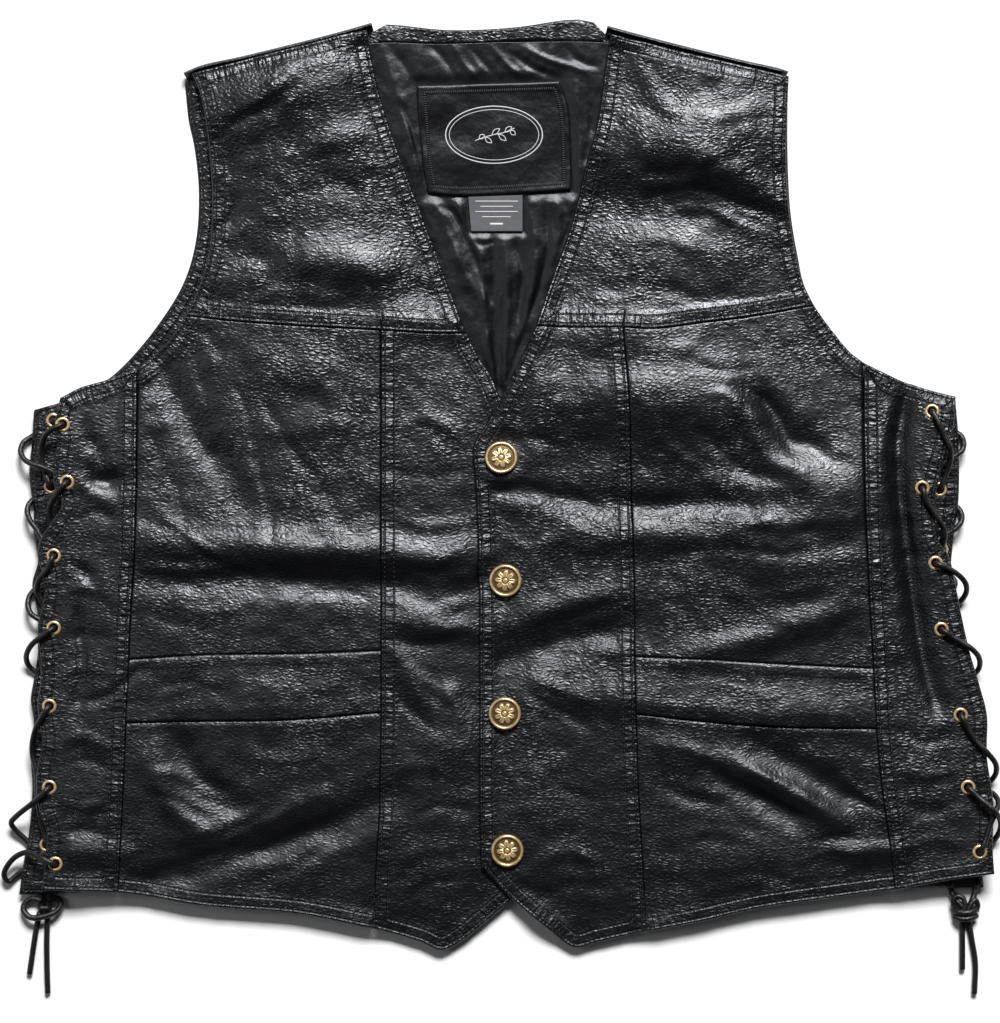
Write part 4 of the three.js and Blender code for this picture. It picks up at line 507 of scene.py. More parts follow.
# Wrinkles of the lining, in pixels as the creases are
LINING_WRINKLES = [
    ([(384, 50), (396, 90), (410, 140), (424, 190)], 4.5, 1.6),
    ([(392, 46), (408, 70), (416, 88)], 3.2, -1.0),
    ([(398, 100), (410, 124), (420, 160)], 2.6, -1.2),
    ([(430, 44), (446, 60), (456, 82)], 3.0, -1.2),
    ([(452, 44), (462, 60), (478, 80)], 3.0, 1.3),
    ([(470, 46), (484, 62), (500, 82)], 2.8, -1.3),
    ([(492, 46), (504, 60), (524, 78)], 3.0, 1.4),
    ([(512, 52), (532, 66), (562, 80)], 2.8, -1.4),
    ([(524, 46), (548, 58), (584, 70)], 2.8, 1.1),
    ([(566, 44), (580, 60), (600, 66)], 2.8, -1.0),
    ([(576, 80), (580, 120), (578, 170), (570, 210)], 3.4, 1.4),
    ([(590, 84), (592, 120), (586, 160)], 3.2, -1.2),
    ([(432, 196), (446, 230), (462, 268), (480, 300)], 4.2, 1.6),
    ([(442, 194), (458, 224), (476, 262), (490, 300)], 3.0, -1.6),
    ([(456, 196), (466, 226), (482, 256)], 2.6, 1.0),
    ([(492, 236), (494, 280), (496, 330), (500, 390)], 3.4, -2.0),
    ([(482, 250), (484, 300), (488, 350), (494, 380)], 3.2, 1.6),
    ([(504, 240), (508, 290), (506, 340), (504, 384)], 3.2, 1.5),
    ([(516, 238), (522, 270), (518, 320)], 2.8, -1.4),
    ([(530, 214), (536, 250), (530, 300), (518, 340)], 3.4, 1.4),
    ([(544, 200), (548, 236), (542, 280), (528, 320)], 2.8, -1.4),
    ([(556, 196), (560, 226), (552, 262)], 2.8, 1.2),
    ([(524, 330), (516, 356), (508, 380)], 2.4, -1.0),
    ([(470, 236), (482, 244), (496, 240)], 2.4, -0.8),
    ([(440, 206), (452, 212), (466, 232)], 2.4, -0.8),
    ([(560, 196), (572, 216), (562, 246)], 2.4, -1.0),
]


def px(x, y):
    return ((x - 500.5) * MM_PER_PIXEL, (483.5 - y) * MM_PER_PIXEL)


# Curves and grids in plan
def curve(rows, fine=24):
    """Points of a centripetal Catmull-Rom curve through the rows."""
    p = np.array(rows, float)
    if len(p) == 2:
        return p[0] + (p[1] - p[0]) * np.linspace(0, 1, fine + 1)[:, None]
    p = np.vstack([2 * p[0] - p[1], p, 2 * p[-1] - p[-2]])
    out = []
    for i in range(1, len(p) - 2):
        a, b, c, d = p[i - 1:i + 3]
        t0 = 0.0
        t1 = max(np.linalg.norm(b - a) ** 0.5, 1e-6)
        t2 = t1 + max(np.linalg.norm(c - b) ** 0.5, 1e-6)
        t3 = t2 + max(np.linalg.norm(d - c) ** 0.5, 1e-6)
        last = i == len(p) - 3
        t = np.linspace(t1, t2, fine + 1)[: fine + 1 if last else fine, None]
        ab = (t1 - t) / (t1 - t0) * a + (t - t0) / (t1 - t0) * b
        bc = (t2 - t) / (t2 - t1) * b + (t - t1) / (t2 - t1) * c
        cd = (t3 - t) / (t3 - t2) * c + (t - t2) / (t3 - t2) * d
        abc = (t2 - t) / (t2 - t0) * ab + (t - t0) / (t2 - t0) * bc
        bcd = (t3 - t) / (t3 - t1) * bc + (t - t1) / (t3 - t1) * cd
        out.append((t2 - t) / (t2 - t1) * abc + (t - t1) / (t2 - t1) * bcd)
    return np.vstack(out)


def lengths(p):
    return np.concatenate([[0], np.cumsum(np.linalg.norm(np.diff(p, axis=0), axis=1))])


def at(p, t):
    """Points at the fractions t of the length of a fine polyline."""
    s = lengths(p)
    return np.stack([np.interp(t * s[-1], s, p[:, k]) for k in range(p.shape[1])], axis=1)


def unit(v):
    return v / np.linalg.norm(v, axis=-1, keepdims=True)


def leftwards(along):
    return np.stack([-along[:, 1], along[:, 0]], -1)


def rim_of(grid):
    return np.vstack([grid[0], grid[1:, -1], grid[-1, -2::-1], grid[-2:0:-1, 0]])


def between(rows, y0, y1, t):
    p = curve(rows)
    order = np.argsort(p[:, 1], kind="stable")
    y = y0 + (y1 - y0) * t
    return np.stack([np.interp(y, p[order, 1], p[order, 0]), y], axis=1)


def spread(length, step=GRID_STEP, ends=(0.4, 1.0, 1.9)):
    """Fractions of a length: even steps, closer together at both ends, a multiple of 3 cells."""
    inner = max(3, int(round((length - 2 * ends[-1]) / step)))
    while (inner + 2 * len(ends)) % 3:
        inner += 1
    low = np.array((0,) + ends[:-1])
    middle = np.linspace(ends[-1], length - ends[-1], inner + 1)
    return np.concatenate([low, middle, length - low[::-1]]) / length


def patch(low, top, left, right):
    """A grid of points between four edges: low and top run the same way, left and right up."""
    ul, ut, vl, vr = [lengths(p) / lengths(p)[-1] for p in (low, top, left, right)]
    v0 = (vl + vr)[:, None] / 2
    u = (ul[None] * (1 - v0) + ut[None] * v0)[..., None]
    v = vl[:, None, None] * (1 - u) + vr[:, None, None] * u
    up = low[None] * (1 - v) + top[None] * v
    across = left[:, None] * (1 - u) + right[:, None] * u
    corners = (low[0] * (1 - u) + low[-1] * u) * (1 - v) + (top[0] * (1 - u) + top[-1] * u) * v
    return up + across - corners


def nearest(x, y, p):
    """Distance of each point to a polyline, and how far along it the nearest point is."""
    best = np.full(x.shape, 1e9)
    along = np.zeros(x.shape)
    s = lengths(p)
    for i in range(1, len(p)):
        a = p[i - 1]
        d = p[i] - a
        size = d @ d
        if size < 1e-12:
            continue
        f = np.clip(((x - a[0]) * d[0] + (y - a[1]) * d[1]) / size, 0, 1)
        r = np.hypot(x - a[0] - f * d[0], y - a[1] - f * d[1])
        along = np.where(r < best, s[i - 1] + f * (s[i] - s[i - 1]), along)
        best = np.minimum(best, r)
    return best, along


def distance(x, y, rows):
    return nearest(x, y, np.array(rows, float))[0]


def edge_drop(x, y, edges):
    """How far a sheet rounds off at its edges, each a line with its own radius."""
    drop = np.zeros(np.shape(x))
    for line, radius in edges:
        d = np.clip(radius - nearest(x, y, line)[0], 0, radius)
        drop = np.maximum(drop, radius - np.sqrt(radius ** 2 - d ** 2))
    return drop


def open_cells(x, y, holes, radius):
    """False for the cells of a grid that lie inside a hole."""
    keep = np.ones((x.shape[0] - 1, x.shape[1] - 1), bool)
    for hx, hy in holes:
        near = np.hypot(x - hx, y - hy) < radius
        keep &= ~(near[:-1, :-1] & near[1:, :-1] & near[:-1, 1:] & near[1:, 1:])
    return keep


def smooth(f):
    c = np.clip(f, 0, 1)
    return c * c * (3 - 2 * c)


# Heights of the upper faces, as the solids have them
def back_top(x, y):
    d = np.minimum(distance(x, y, BACK["side_left"]), distance(x, y, BACK["side_right"]))
    return BACK_LEATHER + BACK_LIFT * smooth((LIFT_END - d) / (LIFT_END - LIFT_PLATEAU))


def fold_height(x, y):
    total = np.zeros(np.shape(x))
    for x1, y1, x2, y2, width, height in FOLDS:
        d = distance(x, y, [(x1, y1), (x2, y2)])
        total += height * np.exp(-(d / width) ** 2)
    return total


def front_top(x, y, side):
    edges = [
        ("side", SIDE_HEIGHT), ("arm_side", ARMHOLE_HEIGHT + 1.5), ("arm_low", ARMHOLE_HEIGHT),
        ("arm_high", ARMHOLE_HEIGHT), ("neck", NECK_EDGE_HEIGHT), ("placket", PLACKET_HEIGHT),
        ("hem_middle", HEM_HEIGHT + 1), ("hem_centre", HEM_HEIGHT - 3),
    ]
    weight = np.full(np.shape(x), 1 / BODY_REACH ** 2)
    total = weight * BODY_HEIGHT
    for name, height in edges:
        w = 1 / (distance(x, y, side[name]) ** 2 + 9)
        weight = weight + w
        total = total + w * height
    from_side = distance(x, y, side["side"])
    z = total / weight + fold_height(x, y) * smooth((from_side - 14) / 24)
    d = distance(x, y, side["fold"])
    under = np.clip(ROLL_RADIUS - d, 0, ROLL_RADIUS)
    roll = ROLL_CENTRE + np.sqrt(ROLL_RADIUS ** 2 - under ** 2)
    f = smooth((d - ROLL_RADIUS) / (2 * ROLL_RADIUS))
    z = np.where(d < ROLL_RADIUS, np.minimum(z, roll), (ROLL_CENTRE + ROLL_RADIUS) * (1 - f) + z * f)
    return np.maximum(z, back_top(x, y) + LEATHER + 3.2)


def left_top(x, y):
    return front_top(x, y, LEFT)


def right_top(x, y):
    own = front_top(x, y, RIGHT)
    reach = smooth((46 - x) / 26)
    over = np.maximum(front_top(x, y, LEFT), own) + OVERLAP_STEP
    return own * (1 - reach) + np.maximum(over, own) * reach


SIDES = {
    "left": (LEFT, left_top, -1),
    "right": (RIGHT, right_top, 1),
}


# Noise that is the same in each run
def hashed(i, j, seed):
    h = np.sin(i * 127.1 + j * 311.7 + seed * 74.7) * 43758.5453
    return h - np.floor(h)


def wave(x, y, size_x, size_y, seed):
    """Smooth noise from -1 to 1 with cells of the given size."""
    u = x / size_x
    v = y / size_y
    i = np.floor(u)
    j = np.floor(v)
    fu = smooth(u - i)
    fv = smooth(v - j)
    low = hashed(i, j, seed) * (1 - fu) + hashed(i + 1, j, seed) * fu
    high = hashed(i, j + 1, seed) * (1 - fu) + hashed(i + 1, j + 1, seed) * fu
    return 2 * (low * (1 - fv) + high * fv) - 1


def crease_height(x, y, table):
    total = np.zeros(np.shape(x))
    for points, width, height in table:
        line = curve([px(*p) for p in points], 5)
        box = 3 * width
        near = (
            (x > line[:, 0].min() - box) & (x < line[:, 0].max() + box)
            & (y > line[:, 1].min() - box) & (y < line[:, 1].max() + box)
        )
        if not near.any():
            continue
        d, s = nearest(x[near], y[near], line)
        end = lengths(line)[-1]
        fade = 0.35 + 0.65 * np.sin(np.pi * np.clip(s / end, 0, 1)) ** 0.7
        rough = 1 + 0.35 * wave(x[near], y[near], 9, 9, 5)
        total[near] += height * fade * rough * np.exp(-(d / (width * rough)) ** 2)
    return total


def broad_height(x, y):
    total = np.zeros(np.shape(x))
    for points, width, height in BROAD:
        line = curve([px(*p) for p in points], 6)
        d, s = nearest(x, y, line)
        end = lengths(line)[-1]
        fade = 0.45 + 0.55 * np.sin(np.pi * np.clip(s / end, 0, 1)) ** 0.6
        wander = 1 + 0.14 * wave(x, y, 34, 26, 6)
        total += height * fade * np.exp(-(d / (width * wander)) ** 2)
    return total


def relief(x, y, from_side):
    """Folds, creases and small unevenness of the fronts, faded at the eyelets, laces and snaps."""
    fade = smooth((from_side - 7) / 12)
    from_snap = np.min([np.hypot(x - a, y - b) for a, b in SNAPS], axis=0)
    calm = fade * smooth((from_snap - 11) / 12)
    small = 0.35 * wave(x, y, 26, 22, 1) + 0.26 * wave(x, y, 13, 10, 2) + 0.1 * wave(x, y, 6, 5, 3)
    folds = broad_height(x, y) - fold_height(x, y) * smooth((from_side - 14) / 24)
    return (folds + crease_height(x, y, CREASES)) * calm + small * (0.3 + 0.7 * fade)


# Meshes
def new_mesh(name, verts, faces, material):
    """A closed mesh that rides on the body, its faces turned outwards."""
    verts = (np.asarray(verts) + SHIFT) * M
    corners = np.array([(f[0], f[k], f[k + 1]) for f in faces for k in range(1, len(f) - 1)])
    a, b, c = [verts[corners[:, k]] for k in range(3)]
    if (a * np.cross(b, c)).sum() < 0:
        faces = [f[::-1] for f in faces]
    mesh = bpy.data.meshes.new(name)
    mesh.from_pydata(verts.tolist(), [], faces)
    mesh.validate()
    mesh.polygons.foreach_set("use_smooth", [True] * len(mesh.polygons))
    obj = bpy.data.objects.new(name, mesh)
    bpy.context.scene.collection.objects.link(obj)
    mesh.materials.append(material)
    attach(obj, "root")
    return obj


def set_attribute(obj, name, values):
    layer = obj.data.attributes.new(name, "FLOAT", "POINT")
    layer.data.foreach_set("value", np.asarray(values, np.float32))


def shell(name, outer, inner, material, keep=None, coarse=True):
    """A closed sheet from two grids of points. keep says which cells there are."""
    rows, columns = outer.shape[0] - 1, outer.shape[1] - 1
    count = (rows + 1) * (columns + 1)
    index = np.arange(count).reshape(rows + 1, columns + 1)
    verts = np.vstack([outer.reshape(-1, 3), inner.reshape(-1, 3)])
    faces = []
    if coarse:
        top = np.stack([index[:-1, :-1], index[:-1, 1:], index[1:, 1:], index[1:, :-1]], -1)
        faces += top.reshape(-1, 4).tolist()
        c = index[::3, ::3] + count
        low = np.stack([c[:-1, :-1], c[1:, :-1], c[1:, 1:], c[:-1, 1:]], -1)
        faces += low.reshape(-1, 4).tolist()
        rim = [index[0], index[:, -1], index[-1, ::-1], index[::-1, 0]]
        for line in rim:
            for k in range(0, len(line) - 1, 3):
                a = line[k:k + 4].tolist()
                faces.append([a[0] + count, a[3] + count] + a[::-1])
    else:
        if keep is None:
            keep = np.ones((rows, columns), bool)
        rim = {}
        for j, i in zip(*np.nonzero(keep)):
            a = [index[j, i], index[j, i + 1], index[j + 1, i + 1], index[j + 1, i]]
            a = [int(k) for k in a]
            faces.append(a)
            faces.append([k + count for k in a[::-1]])
            for p, q in zip(a, a[1:] + a[:1]):
                if (q, p) in rim:
                    del rim[(q, p)]
                else:
                    rim[(p, q)] = True
        faces += [[q, p, p + count, q + count] for p, q in rim]
    used = np.unique(np.concatenate([np.array(f) for f in faces]))
    renumber = np.full(2 * count, -1)
    renumber[used] = np.arange(len(used))
    faces = [renumber[f].tolist() for f in faces]
    return new_mesh(name, verts[used], faces, material), used % count


def set_seams(piece, used, d=FAR_FROM_SEAM, s=0.0):
    """Distance to the nearest sewn edge, and how far along it, for the leather's stitch rows."""
    for key, value in (("seam_d", d), ("seam_s", s)):
        set_attribute(piece, key, np.broadcast_to(value, (len(used),)))


def dress(node):
    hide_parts(node)


def normals_of(points):
    n = np.cross(np.gradient(points, axis=1), np.gradient(points, axis=0))
    n /= np.linalg.norm(n, axis=2, keepdims=True) + 1e-12
    n[n[..., 2] < 0] *= -1
    return n


def tube_points(points, radius, sides):
    """Rings along a path with as little twist as can be, and rounded ends."""
    p = np.array(points, float)
    last = len(p) - 1
    tangent = unit(np.gradient(p, axis=0))
    side = np.cross(tangent[0], (0, 0, 1.0))
    if np.linalg.norm(side) < 0.1:
        side = np.cross(tangent[0], (0, 1.0, 0))
    side = unit(side)
    angle = np.linspace(0, 2 * np.pi, sides, endpoint=False)[:, None]
    around = []
    for k in range(len(p)):
        side = unit(side - tangent[k] * (side @ tangent[k]))
        around.append(np.cos(angle) * side + np.sin(angle) * np.cross(tangent[k], side))

    def end(k, f, sign):
        centre = p[k] + sign * tangent[k] * radius * 0.35 * (1 - f)
        return centre + radius * (0.45 + 0.5 * f) * around[k]

    rings = [end(0, 0.25, -1), end(0, 0.75, -1)]
    rings += [p[k] + radius * around[k] for k in range(len(p))]
    rings += [end(last, 0.75, 1), end(last, 0.25, 1)]
    return np.vstack(rings), len(rings)


def ring_faces(rings, sides, start=0):
    """Faces between rings of points that follow each other."""
    faces = []
    for j in range(rings - 1):
        for i in range(sides):
            a = start + j * sides + i
            b = start + j * sides + (i + 1) % sides
            faces.append([a, b, b + sides, a + sides])
    return faces


def join_tubes(name, tubes, material, sides=12):
    verts, faces, count = [], [], 0
    for points, radius in tubes:
        v, rings = tube_points(points, radius, sides)
        faces += ring_faces(rings, sides, count)
        verts.append(v)
        faces.append([count + i for i in range(sides)][::-1])
        count += len(v)
        faces.append([count - sides + i for i in range(sides)])
    return new_mesh(name, np.vstack(verts), faces, material)


def place(verts, point, normal, turn=0.0):
    """Turns points modelled along +Z to a normal and moves them to a point."""
    q = Vector((0, 0, 1)).rotation_difference(Vector(normal))
    m = np.array(q.to_matrix())
    c, s = math.cos(turn), math.sin(turn)
    spin = np.array([[c, -s, 0], [s, c, 0], [0, 0, 1]])
    return verts @ spin.T @ m.T + np.array(point)


# Materials
def material(name):
    mat = bpy.data.materials.new(name)
    mat.use_nodes = True
    nodes = mat.node_tree.nodes
    return mat, nodes, mat.node_tree.links, nodes["Principled BSDF"]


class Graph:
    """Short calls that make and link shader nodes."""

    def __init__(self, name):
        self.mat, self.nodes, self.links, self.shader = material(name)
        self.place = self.nodes.new("ShaderNodeTexCoord").outputs["Object"]

    def set(self, node, key, value):
        socket = node.inputs[key]
        if isinstance(value, bpy.types.NodeSocket):
            self.links.new(value, socket)
        else:
            socket.default_value = value

    def make(self, kind, inputs, output=0, **settings):
        """A new shader node with its settings and inputs. Gives one of its outputs."""
        node = self.nodes.new("ShaderNode" + kind)
        for key, value in settings.items():
            setattr(node, key, value)
        for key, value in inputs.items():
            self.set(node, key, value)
        return node.outputs[output]

    def math(self, operation, a, b=0.0, c=0.0):
        return self.make("Math", {0: a, 1: b, 2: c}, operation=operation)

    def vector(self, operation, a, b):
        return self.make("VectorMath", {0: a, 1: b}, operation=operation)

    def noise(self, scale, detail=2.0, rough=0.5, vector=None, output="Fac"):
        place = self.place if vector is None else vector
        inputs = {"Vector": place, "Scale": scale, "Detail": detail, "Roughness": rough}
        return self.make("TexNoise", inputs, output)

    def cells(self, scale, vector=None):
        inputs = {"Vector": self.place if vector is None else vector, "Scale": scale}
        return self.make("TexVoronoi", inputs, "Distance", feature="DISTANCE_TO_EDGE")

    def span(self, value, a, b, c=0.0, d=1.0, kind="SMOOTHSTEP"):
        inputs = {"Value": value, "From Min": a, "From Max": b, "To Min": c, "To Max": d}
        return self.make("MapRange", inputs, interpolation_type=kind)

    def mix(self, factor, a, b, blend="MIX"):
        inputs = {"Factor": factor, 6: a, 7: b}
        return self.make("Mix", inputs, 2, data_type="RGBA", blend_type=blend)

    def attribute(self, name):
        return self.make("Attribute", {}, "Fac", attribute_name=name)

    def bump(self, height, distance, after=None):
        inputs = {"Distance": distance, "Strength": 1.0, "Height": height}
        if after is not None:
            inputs["Normal"] = after
        return self.make("Bump", inputs)

    def shade(self, **values):
        for key, value in values.items():
            self.set(self.shader, key.replace("_", " "), value)


COOL = (0.92, 0.95, 1.0, 1)


def leather_material(name):
    """Black leather: pebbles with grooves, soft unevenness, puckered seams and sunk stitch rows."""
    g = Graph(name)
    spot = g.place
    for scale, reach in ((85, 0.0046), (300, 0.0009)):
        off = g.vector("ADD", g.noise(scale, 0, output="Color"), (-0.5, -0.5, -0.5))
        spot = g.vector("ADD", spot, g.vector("MULTIPLY", off, (reach,) * 3))
    spot = g.vector("MULTIPLY", spot, (0.7, 1.22, 1.0))
    pebble = g.span(g.cells(340, vector=spot), 0.0, 0.4)
    fine = g.span(g.cells(880, vector=spot), 0.0, 0.24)
    large = g.span(g.cells(170, vector=spot), 0.0, 0.09)
    area = g.span(g.noise(20, 3), 0.36, 0.66, 0.55, 1.0)
    height = g.math("MULTIPLY", g.math("MULTIPLY", pebble, area), 0.8)
    height = g.math("MULTIPLY_ADD", fine, 0.05, height)
    height = g.math("MULTIPLY_ADD", large, g.math("MULTIPLY", area, 0.2), height)
    normal = g.bump(height, 0.0003)
    normal = g.bump(g.noise(70, 1, 0.4), 0.0009, normal)
    d = g.attribute("seam_d")
    dips = []
    for row in STITCH_ROWS:
        off = g.math("ABSOLUTE", g.math("SUBTRACT", d, row))
        dips.append(g.span(off, 0.0, 1.0, 1.0, 0.0))
    rows = g.math("MAXIMUM", *dips)
    near = g.span(d, 7.0, 15.0, 1.0, 0.0)
    along = g.math("MULTIPLY", g.attribute("seam_s"), 0.36)
    along = g.make("CombineXYZ", {0: along, 1: g.math("MULTIPLY", d, 0.09)})
    pucker = g.noise(1.0, 1, 0.5, along)
    height = g.math("MULTIPLY", g.math("SUBTRACT", pucker, 0.5), near)
    height = g.math("SUBTRACT", g.math("MULTIPLY", height, 1.2), g.math("MULTIPLY", rows, 0.5))
    normal = g.bump(height, 0.0009, normal)
    tone = g.mix(g.noise(35, 4, 0.6), (0.0016, 0.0017, 0.0022, 1), (0.0042, 0.0045, 0.0056, 1))
    # Painted shade: the base colour is multiplied down to a quarter in the grooves of the pebble grain,
    # darkest at their bottoms.
    tone = g.mix(1.0, tone, g.span(pebble, 0.0, 1.0, 0.25, 1.0), "MULTIPLY")
    rough = g.span(g.noise(48, 3), 0.3, 0.7, 0.3, 0.36)
    rough = g.math("ADD", rough, g.span(pebble, 0.0, 1.0, 0.05, 0.0))
    upwards = g.make("SeparateXYZ", {0: g.place}, 1)
    rough = g.math("ADD", rough, g.span(upwards, -0.25, 0.2, 0.05, -0.03, "LINEAR"))
    g.shade(Base_Color=tone, Roughness=rough, Normal=normal, Specular_IOR_Level=0.68, Specular_Tint=COOL)
    return g.mat


def cloth_material(name, dark, light, rough, thread, gloss=0.5):
    g = Graph(name)
    inputs = {"Vector": g.place, "Scale": thread, "Distortion": 0.4}
    weave = g.math("ADD", *[g.make("TexWave", inputs, "Fac", bands_direction=k) for k in "XY"])
    normal = g.bump(g.noise(110, 2), 0.0006, g.bump(weave, 0.00001))
    tone = g.mix(g.noise(60, 3), dark + (1,), light + (1,))
    g.shade(Base_Color=tone, Normal=normal, Roughness=g.span(weave, 0, 2, rough + 0.05, rough))
    g.shade(Specular_IOR_Level=gloss, Specular_Tint=COOL)
    return g.mat


def brass_material(name):
    """Antique brass: raised parts are polished, low ones keep a brown patina."""
    g = Graph(name)
    high = g.attribute("polish")
    blot = g.span(g.noise(420, 4, 0.6), 0.3, 0.72)
    fine = g.noise(2600, 2)
    factor = g.math("MULTIPLY", high, g.span(blot, 0, 1, 0.62, 1.0))
    tone = g.mix(factor, (0.11, 0.068, 0.03, 1), (0.9, 0.66, 0.33, 1))
    metal = g.span(factor, 0, 1, 0.7, 0.6)
    rough = g.span(factor, 0, 1, 0.5, 0.24)
    g.shade(Base_Color=tone, Roughness=rough, Metallic=metal, Normal=g.bump(fine, 0.00004))
    return g.mat


def lace_material(name):
    g = Graph(name)
    stretched = g.vector("MULTIPLY", g.place, (1.0, 0.35, 1.0))
    grain = g.math("ADD", g.noise(900, 3, 0.6, stretched), g.cells(700))
    tone = g.mix(g.noise(240, 3), (0.003, 0.003, 0.003, 1), (0.009, 0.0085, 0.008, 1))
    g.shade(Base_Color=tone, Roughness=g.span(grain, 0.3, 1.1, 0.34, 0.5), Normal=g.bump(grain, 0.00022))
    g.shade(Specular_IOR_Level=0.45)
    return g.mat


def plain_material(name, dark, light, rough, depth=0.00008):
    g = Graph(name)
    grain = g.noise(2500, 3, 0.6)
    tone = g.mix(grain, dark + (1,), light + (1,))
    g.shade(Base_Color=tone, Roughness=g.span(grain, 0, 1, rough - 0.08, rough), Normal=g.bump(grain, depth))
    return g.mat


LEATHER_SKIN = leather_material("leather_skin")
LINING_DARK, LINING_LIGHT = (0.0008, 0.0008, 0.0012), (0.002, 0.002, 0.0026)
LABEL_DARK, LABEL_LIGHT = (0.001, 0.001, 0.0013), (0.0022, 0.0022, 0.0027)
LINING_CLOTH = cloth_material("lining_cloth", LINING_DARK, LINING_LIGHT, 0.3, 2400, 0.7)
LABEL_CLOTH = cloth_material("label_cloth", LABEL_DARK, LABEL_LIGHT, 0.32, 1500, 0.4)
TAB_CLOTH = cloth_material("tab_cloth", (0.075, 0.075, 0.085), (0.11, 0.11, 0.12), 0.65, 1500)
WHITE_YARN = plain_material("white_yarn", (0.5, 0.5, 0.5), (0.72, 0.72, 0.72), 0.7, 0.0001)
BLACK_THREAD = plain_material("black_thread", (0.008, 0.008, 0.009), (0.03, 0.03, 0.033), 0.5)
BRASS = brass_material("antique_brass")
LACE_LEATHER = lace_material("lace_leather")


# Camera straight above the vest, as in the photograph
camera = bpy.data.objects.new("camera", bpy.data.cameras.new("camera"))
bpy.context.scene.collection.objects.link(camera)
camera.data.sensor_fit = "VERTICAL"
camera.data.sensor_height = SENSOR
camera.data.lens = SENSOR * (CAMERA_HEIGHT - MID_HEIGHT) / (FRAME[1] * MM_PER_PIXEL * M)
middle = px(FRAME[0] / 2, FRAME[1] / 2)
camera.location = ((middle[0] + SHIFT[0]) * M, (middle[1] + SHIFT[1]) * M, CAMERA_HEIGHT)
bpy.context.scene.camera = camera

# Free ends of the laces
for name, rows in TAILS.items():
    points = at(curve(rows), np.linspace(0, 1, 24))
    piece = join_tubes("lace_end_" + name, [(points, LACE_RADIUS)], LACE_LEATHER)
    dress("lace_tail_" + name)


# Panels of the fronts
def inside(x, y, polygon):
    result = np.zeros(np.shape(x), bool)
    for (x1, y1), (x2, y2) in zip(polygon, np.roll(polygon, -1, axis=0)):
        if y1 == y2:
            continue
        crosses = (y1 > y) != (y2 > y)
        result ^= crosses & (x < (x2 - x1) * (y - y1) / (y2 - y1) + x1)
    return result


def moved(points, dx=0.0, dy=0.0):
    return points + np.array([dx, dy])


def panel_grids(side, sign):
    """Plan grids of the six panels of one front."""
    g = HALF_GAP
    k = -sign * g
    seam, princess = side["seam"], side["princess"]

    def heights(**ends):
        return [side[name][i][1] for name, i in ends.items()]

    seam_rows = heights(hem_side=2, pocket_low=0, pocket_top=0, arm_low=0)
    princess_rows = heights(hem_centre=0, pocket_low=-1, pocket_top=-1, yoke_middle=-1)

    def wide(name, t):
        return at(curve(side[name]), t)

    def up(rows, low, high, t, start=g, end=g):
        return between(rows, low + start, high - end, t)

    grids = {}
    t = spread(330)
    w = spread(60, 2.0)
    edge = side["side"]
    grids["side"] = patch(
        wide("hem_side", w), wide("arm_side", w), between(edge, edge[0][1], edge[-1][1], t),
        moved(between(seam, seam_rows[0], seam_rows[3], t), -k),
    )
    w = spread(170)
    t = spread(120)
    grids["middle_lower"] = patch(
        wide("hem_middle", w), moved(wide("pocket_low", w), 0, -g),
        moved(up(seam, *seam_rows[:2], t, 0), k), moved(up(princess, *princess_rows[:2], t, 0), -k),
    )
    t = spread(42, 1.6)
    grids["pocket_welt"] = patch(
        moved(wide("pocket_low", w), 0, g), moved(wide("pocket_top", w), 0, -g),
        moved(up(seam, *seam_rows[1:3], t), k), moved(up(princess, *princess_rows[1:3], t), -k),
    )
    t = spread(210)
    arm_cells = 15
    arm = wide("arm_low", np.linspace(0, 1, arm_cells + 1))
    rest = np.linspace(0, 1, len(w) - arm_cells)
    top = np.vstack([arm, moved(wide("yoke_middle", rest), 0, -g)[1:]])
    grids["middle_upper"] = patch(
        moved(wide("pocket_top", w), 0, g), top,
        moved(up(seam, *seam_rows[2:], t, g, 0), k), moved(up(princess, *princess_rows[2:], t), -k),
    )
    w = spread(100)
    t = spread(420)
    grids["centre"] = patch(
        wide("hem_centre", w), moved(wide("yoke_centre", w), 0, -g),
        moved(up(princess, princess_rows[0], princess_rows[3], t, 0), k), wide("placket", t),
    )
    w = spread(180)
    t = spread(190)
    low = np.vstack([curve(side["yoke_middle"]), curve(side["yoke_centre"])[1:]])
    grids["yoke"] = patch(
        moved(at(low, w), 0, g), wide("shoulder", w), wide("arm_high", t), wide("neck", t),
    )
    return grids


# Edges of each panel: its line, how round it is, its stitch rows and how far its seam stands up
BOTH = 2
EDGES = {
    "side": [
        ("hem_side", 1.3, BOTH, 0.5), ("arm_side", 1.3, BOTH, 0.5), ("side", 1.3, 1, 0.4),
        ("seam", 1.0, BOTH, 0.7),
    ],
    "middle_lower": [
        ("hem_middle", 1.3, BOTH, 0.5), ("pocket_low", 0.8, 0, 0), ("seam", 0.9, 0, 0),
        ("princess", 0.9, 0, 0),
    ],
    "pocket_welt": [
        ("pocket_low", 1.2, 0, 0.2), ("pocket_top", 1.2, 0, 0.2), ("seam", 1.0, 0, 0),
        ("princess", 1.0, 0, 0),
    ],
    "middle_upper": [
        ("pocket_top", 0.8, 0, 0), ("arm_low", 1.3, BOTH, 0.5), ("yoke_middle", 0.9, 0, 0),
        ("seam", 0.9, 0, 0), ("princess", 0.9, 0, 0),
    ],
    "centre": [
        ("hem_centre", 1.3, BOTH, 0.5), ("placket", 1.4, BOTH, 0.6), ("princess", 1.0, BOTH, 0.7),
        ("yoke_centre", 0.9, 0, 0),
    ],
    "yoke": [
        ("yoke_middle", 1.1, BOTH, 0.9), ("yoke_centre", 1.1, BOTH, 0.9), ("arm_high", 1.3, BOTH, 0.5),
        ("neck", 1.3, BOTH, 0.5), ("shoulder", 1.0, 1, 0.3),
    ],
}

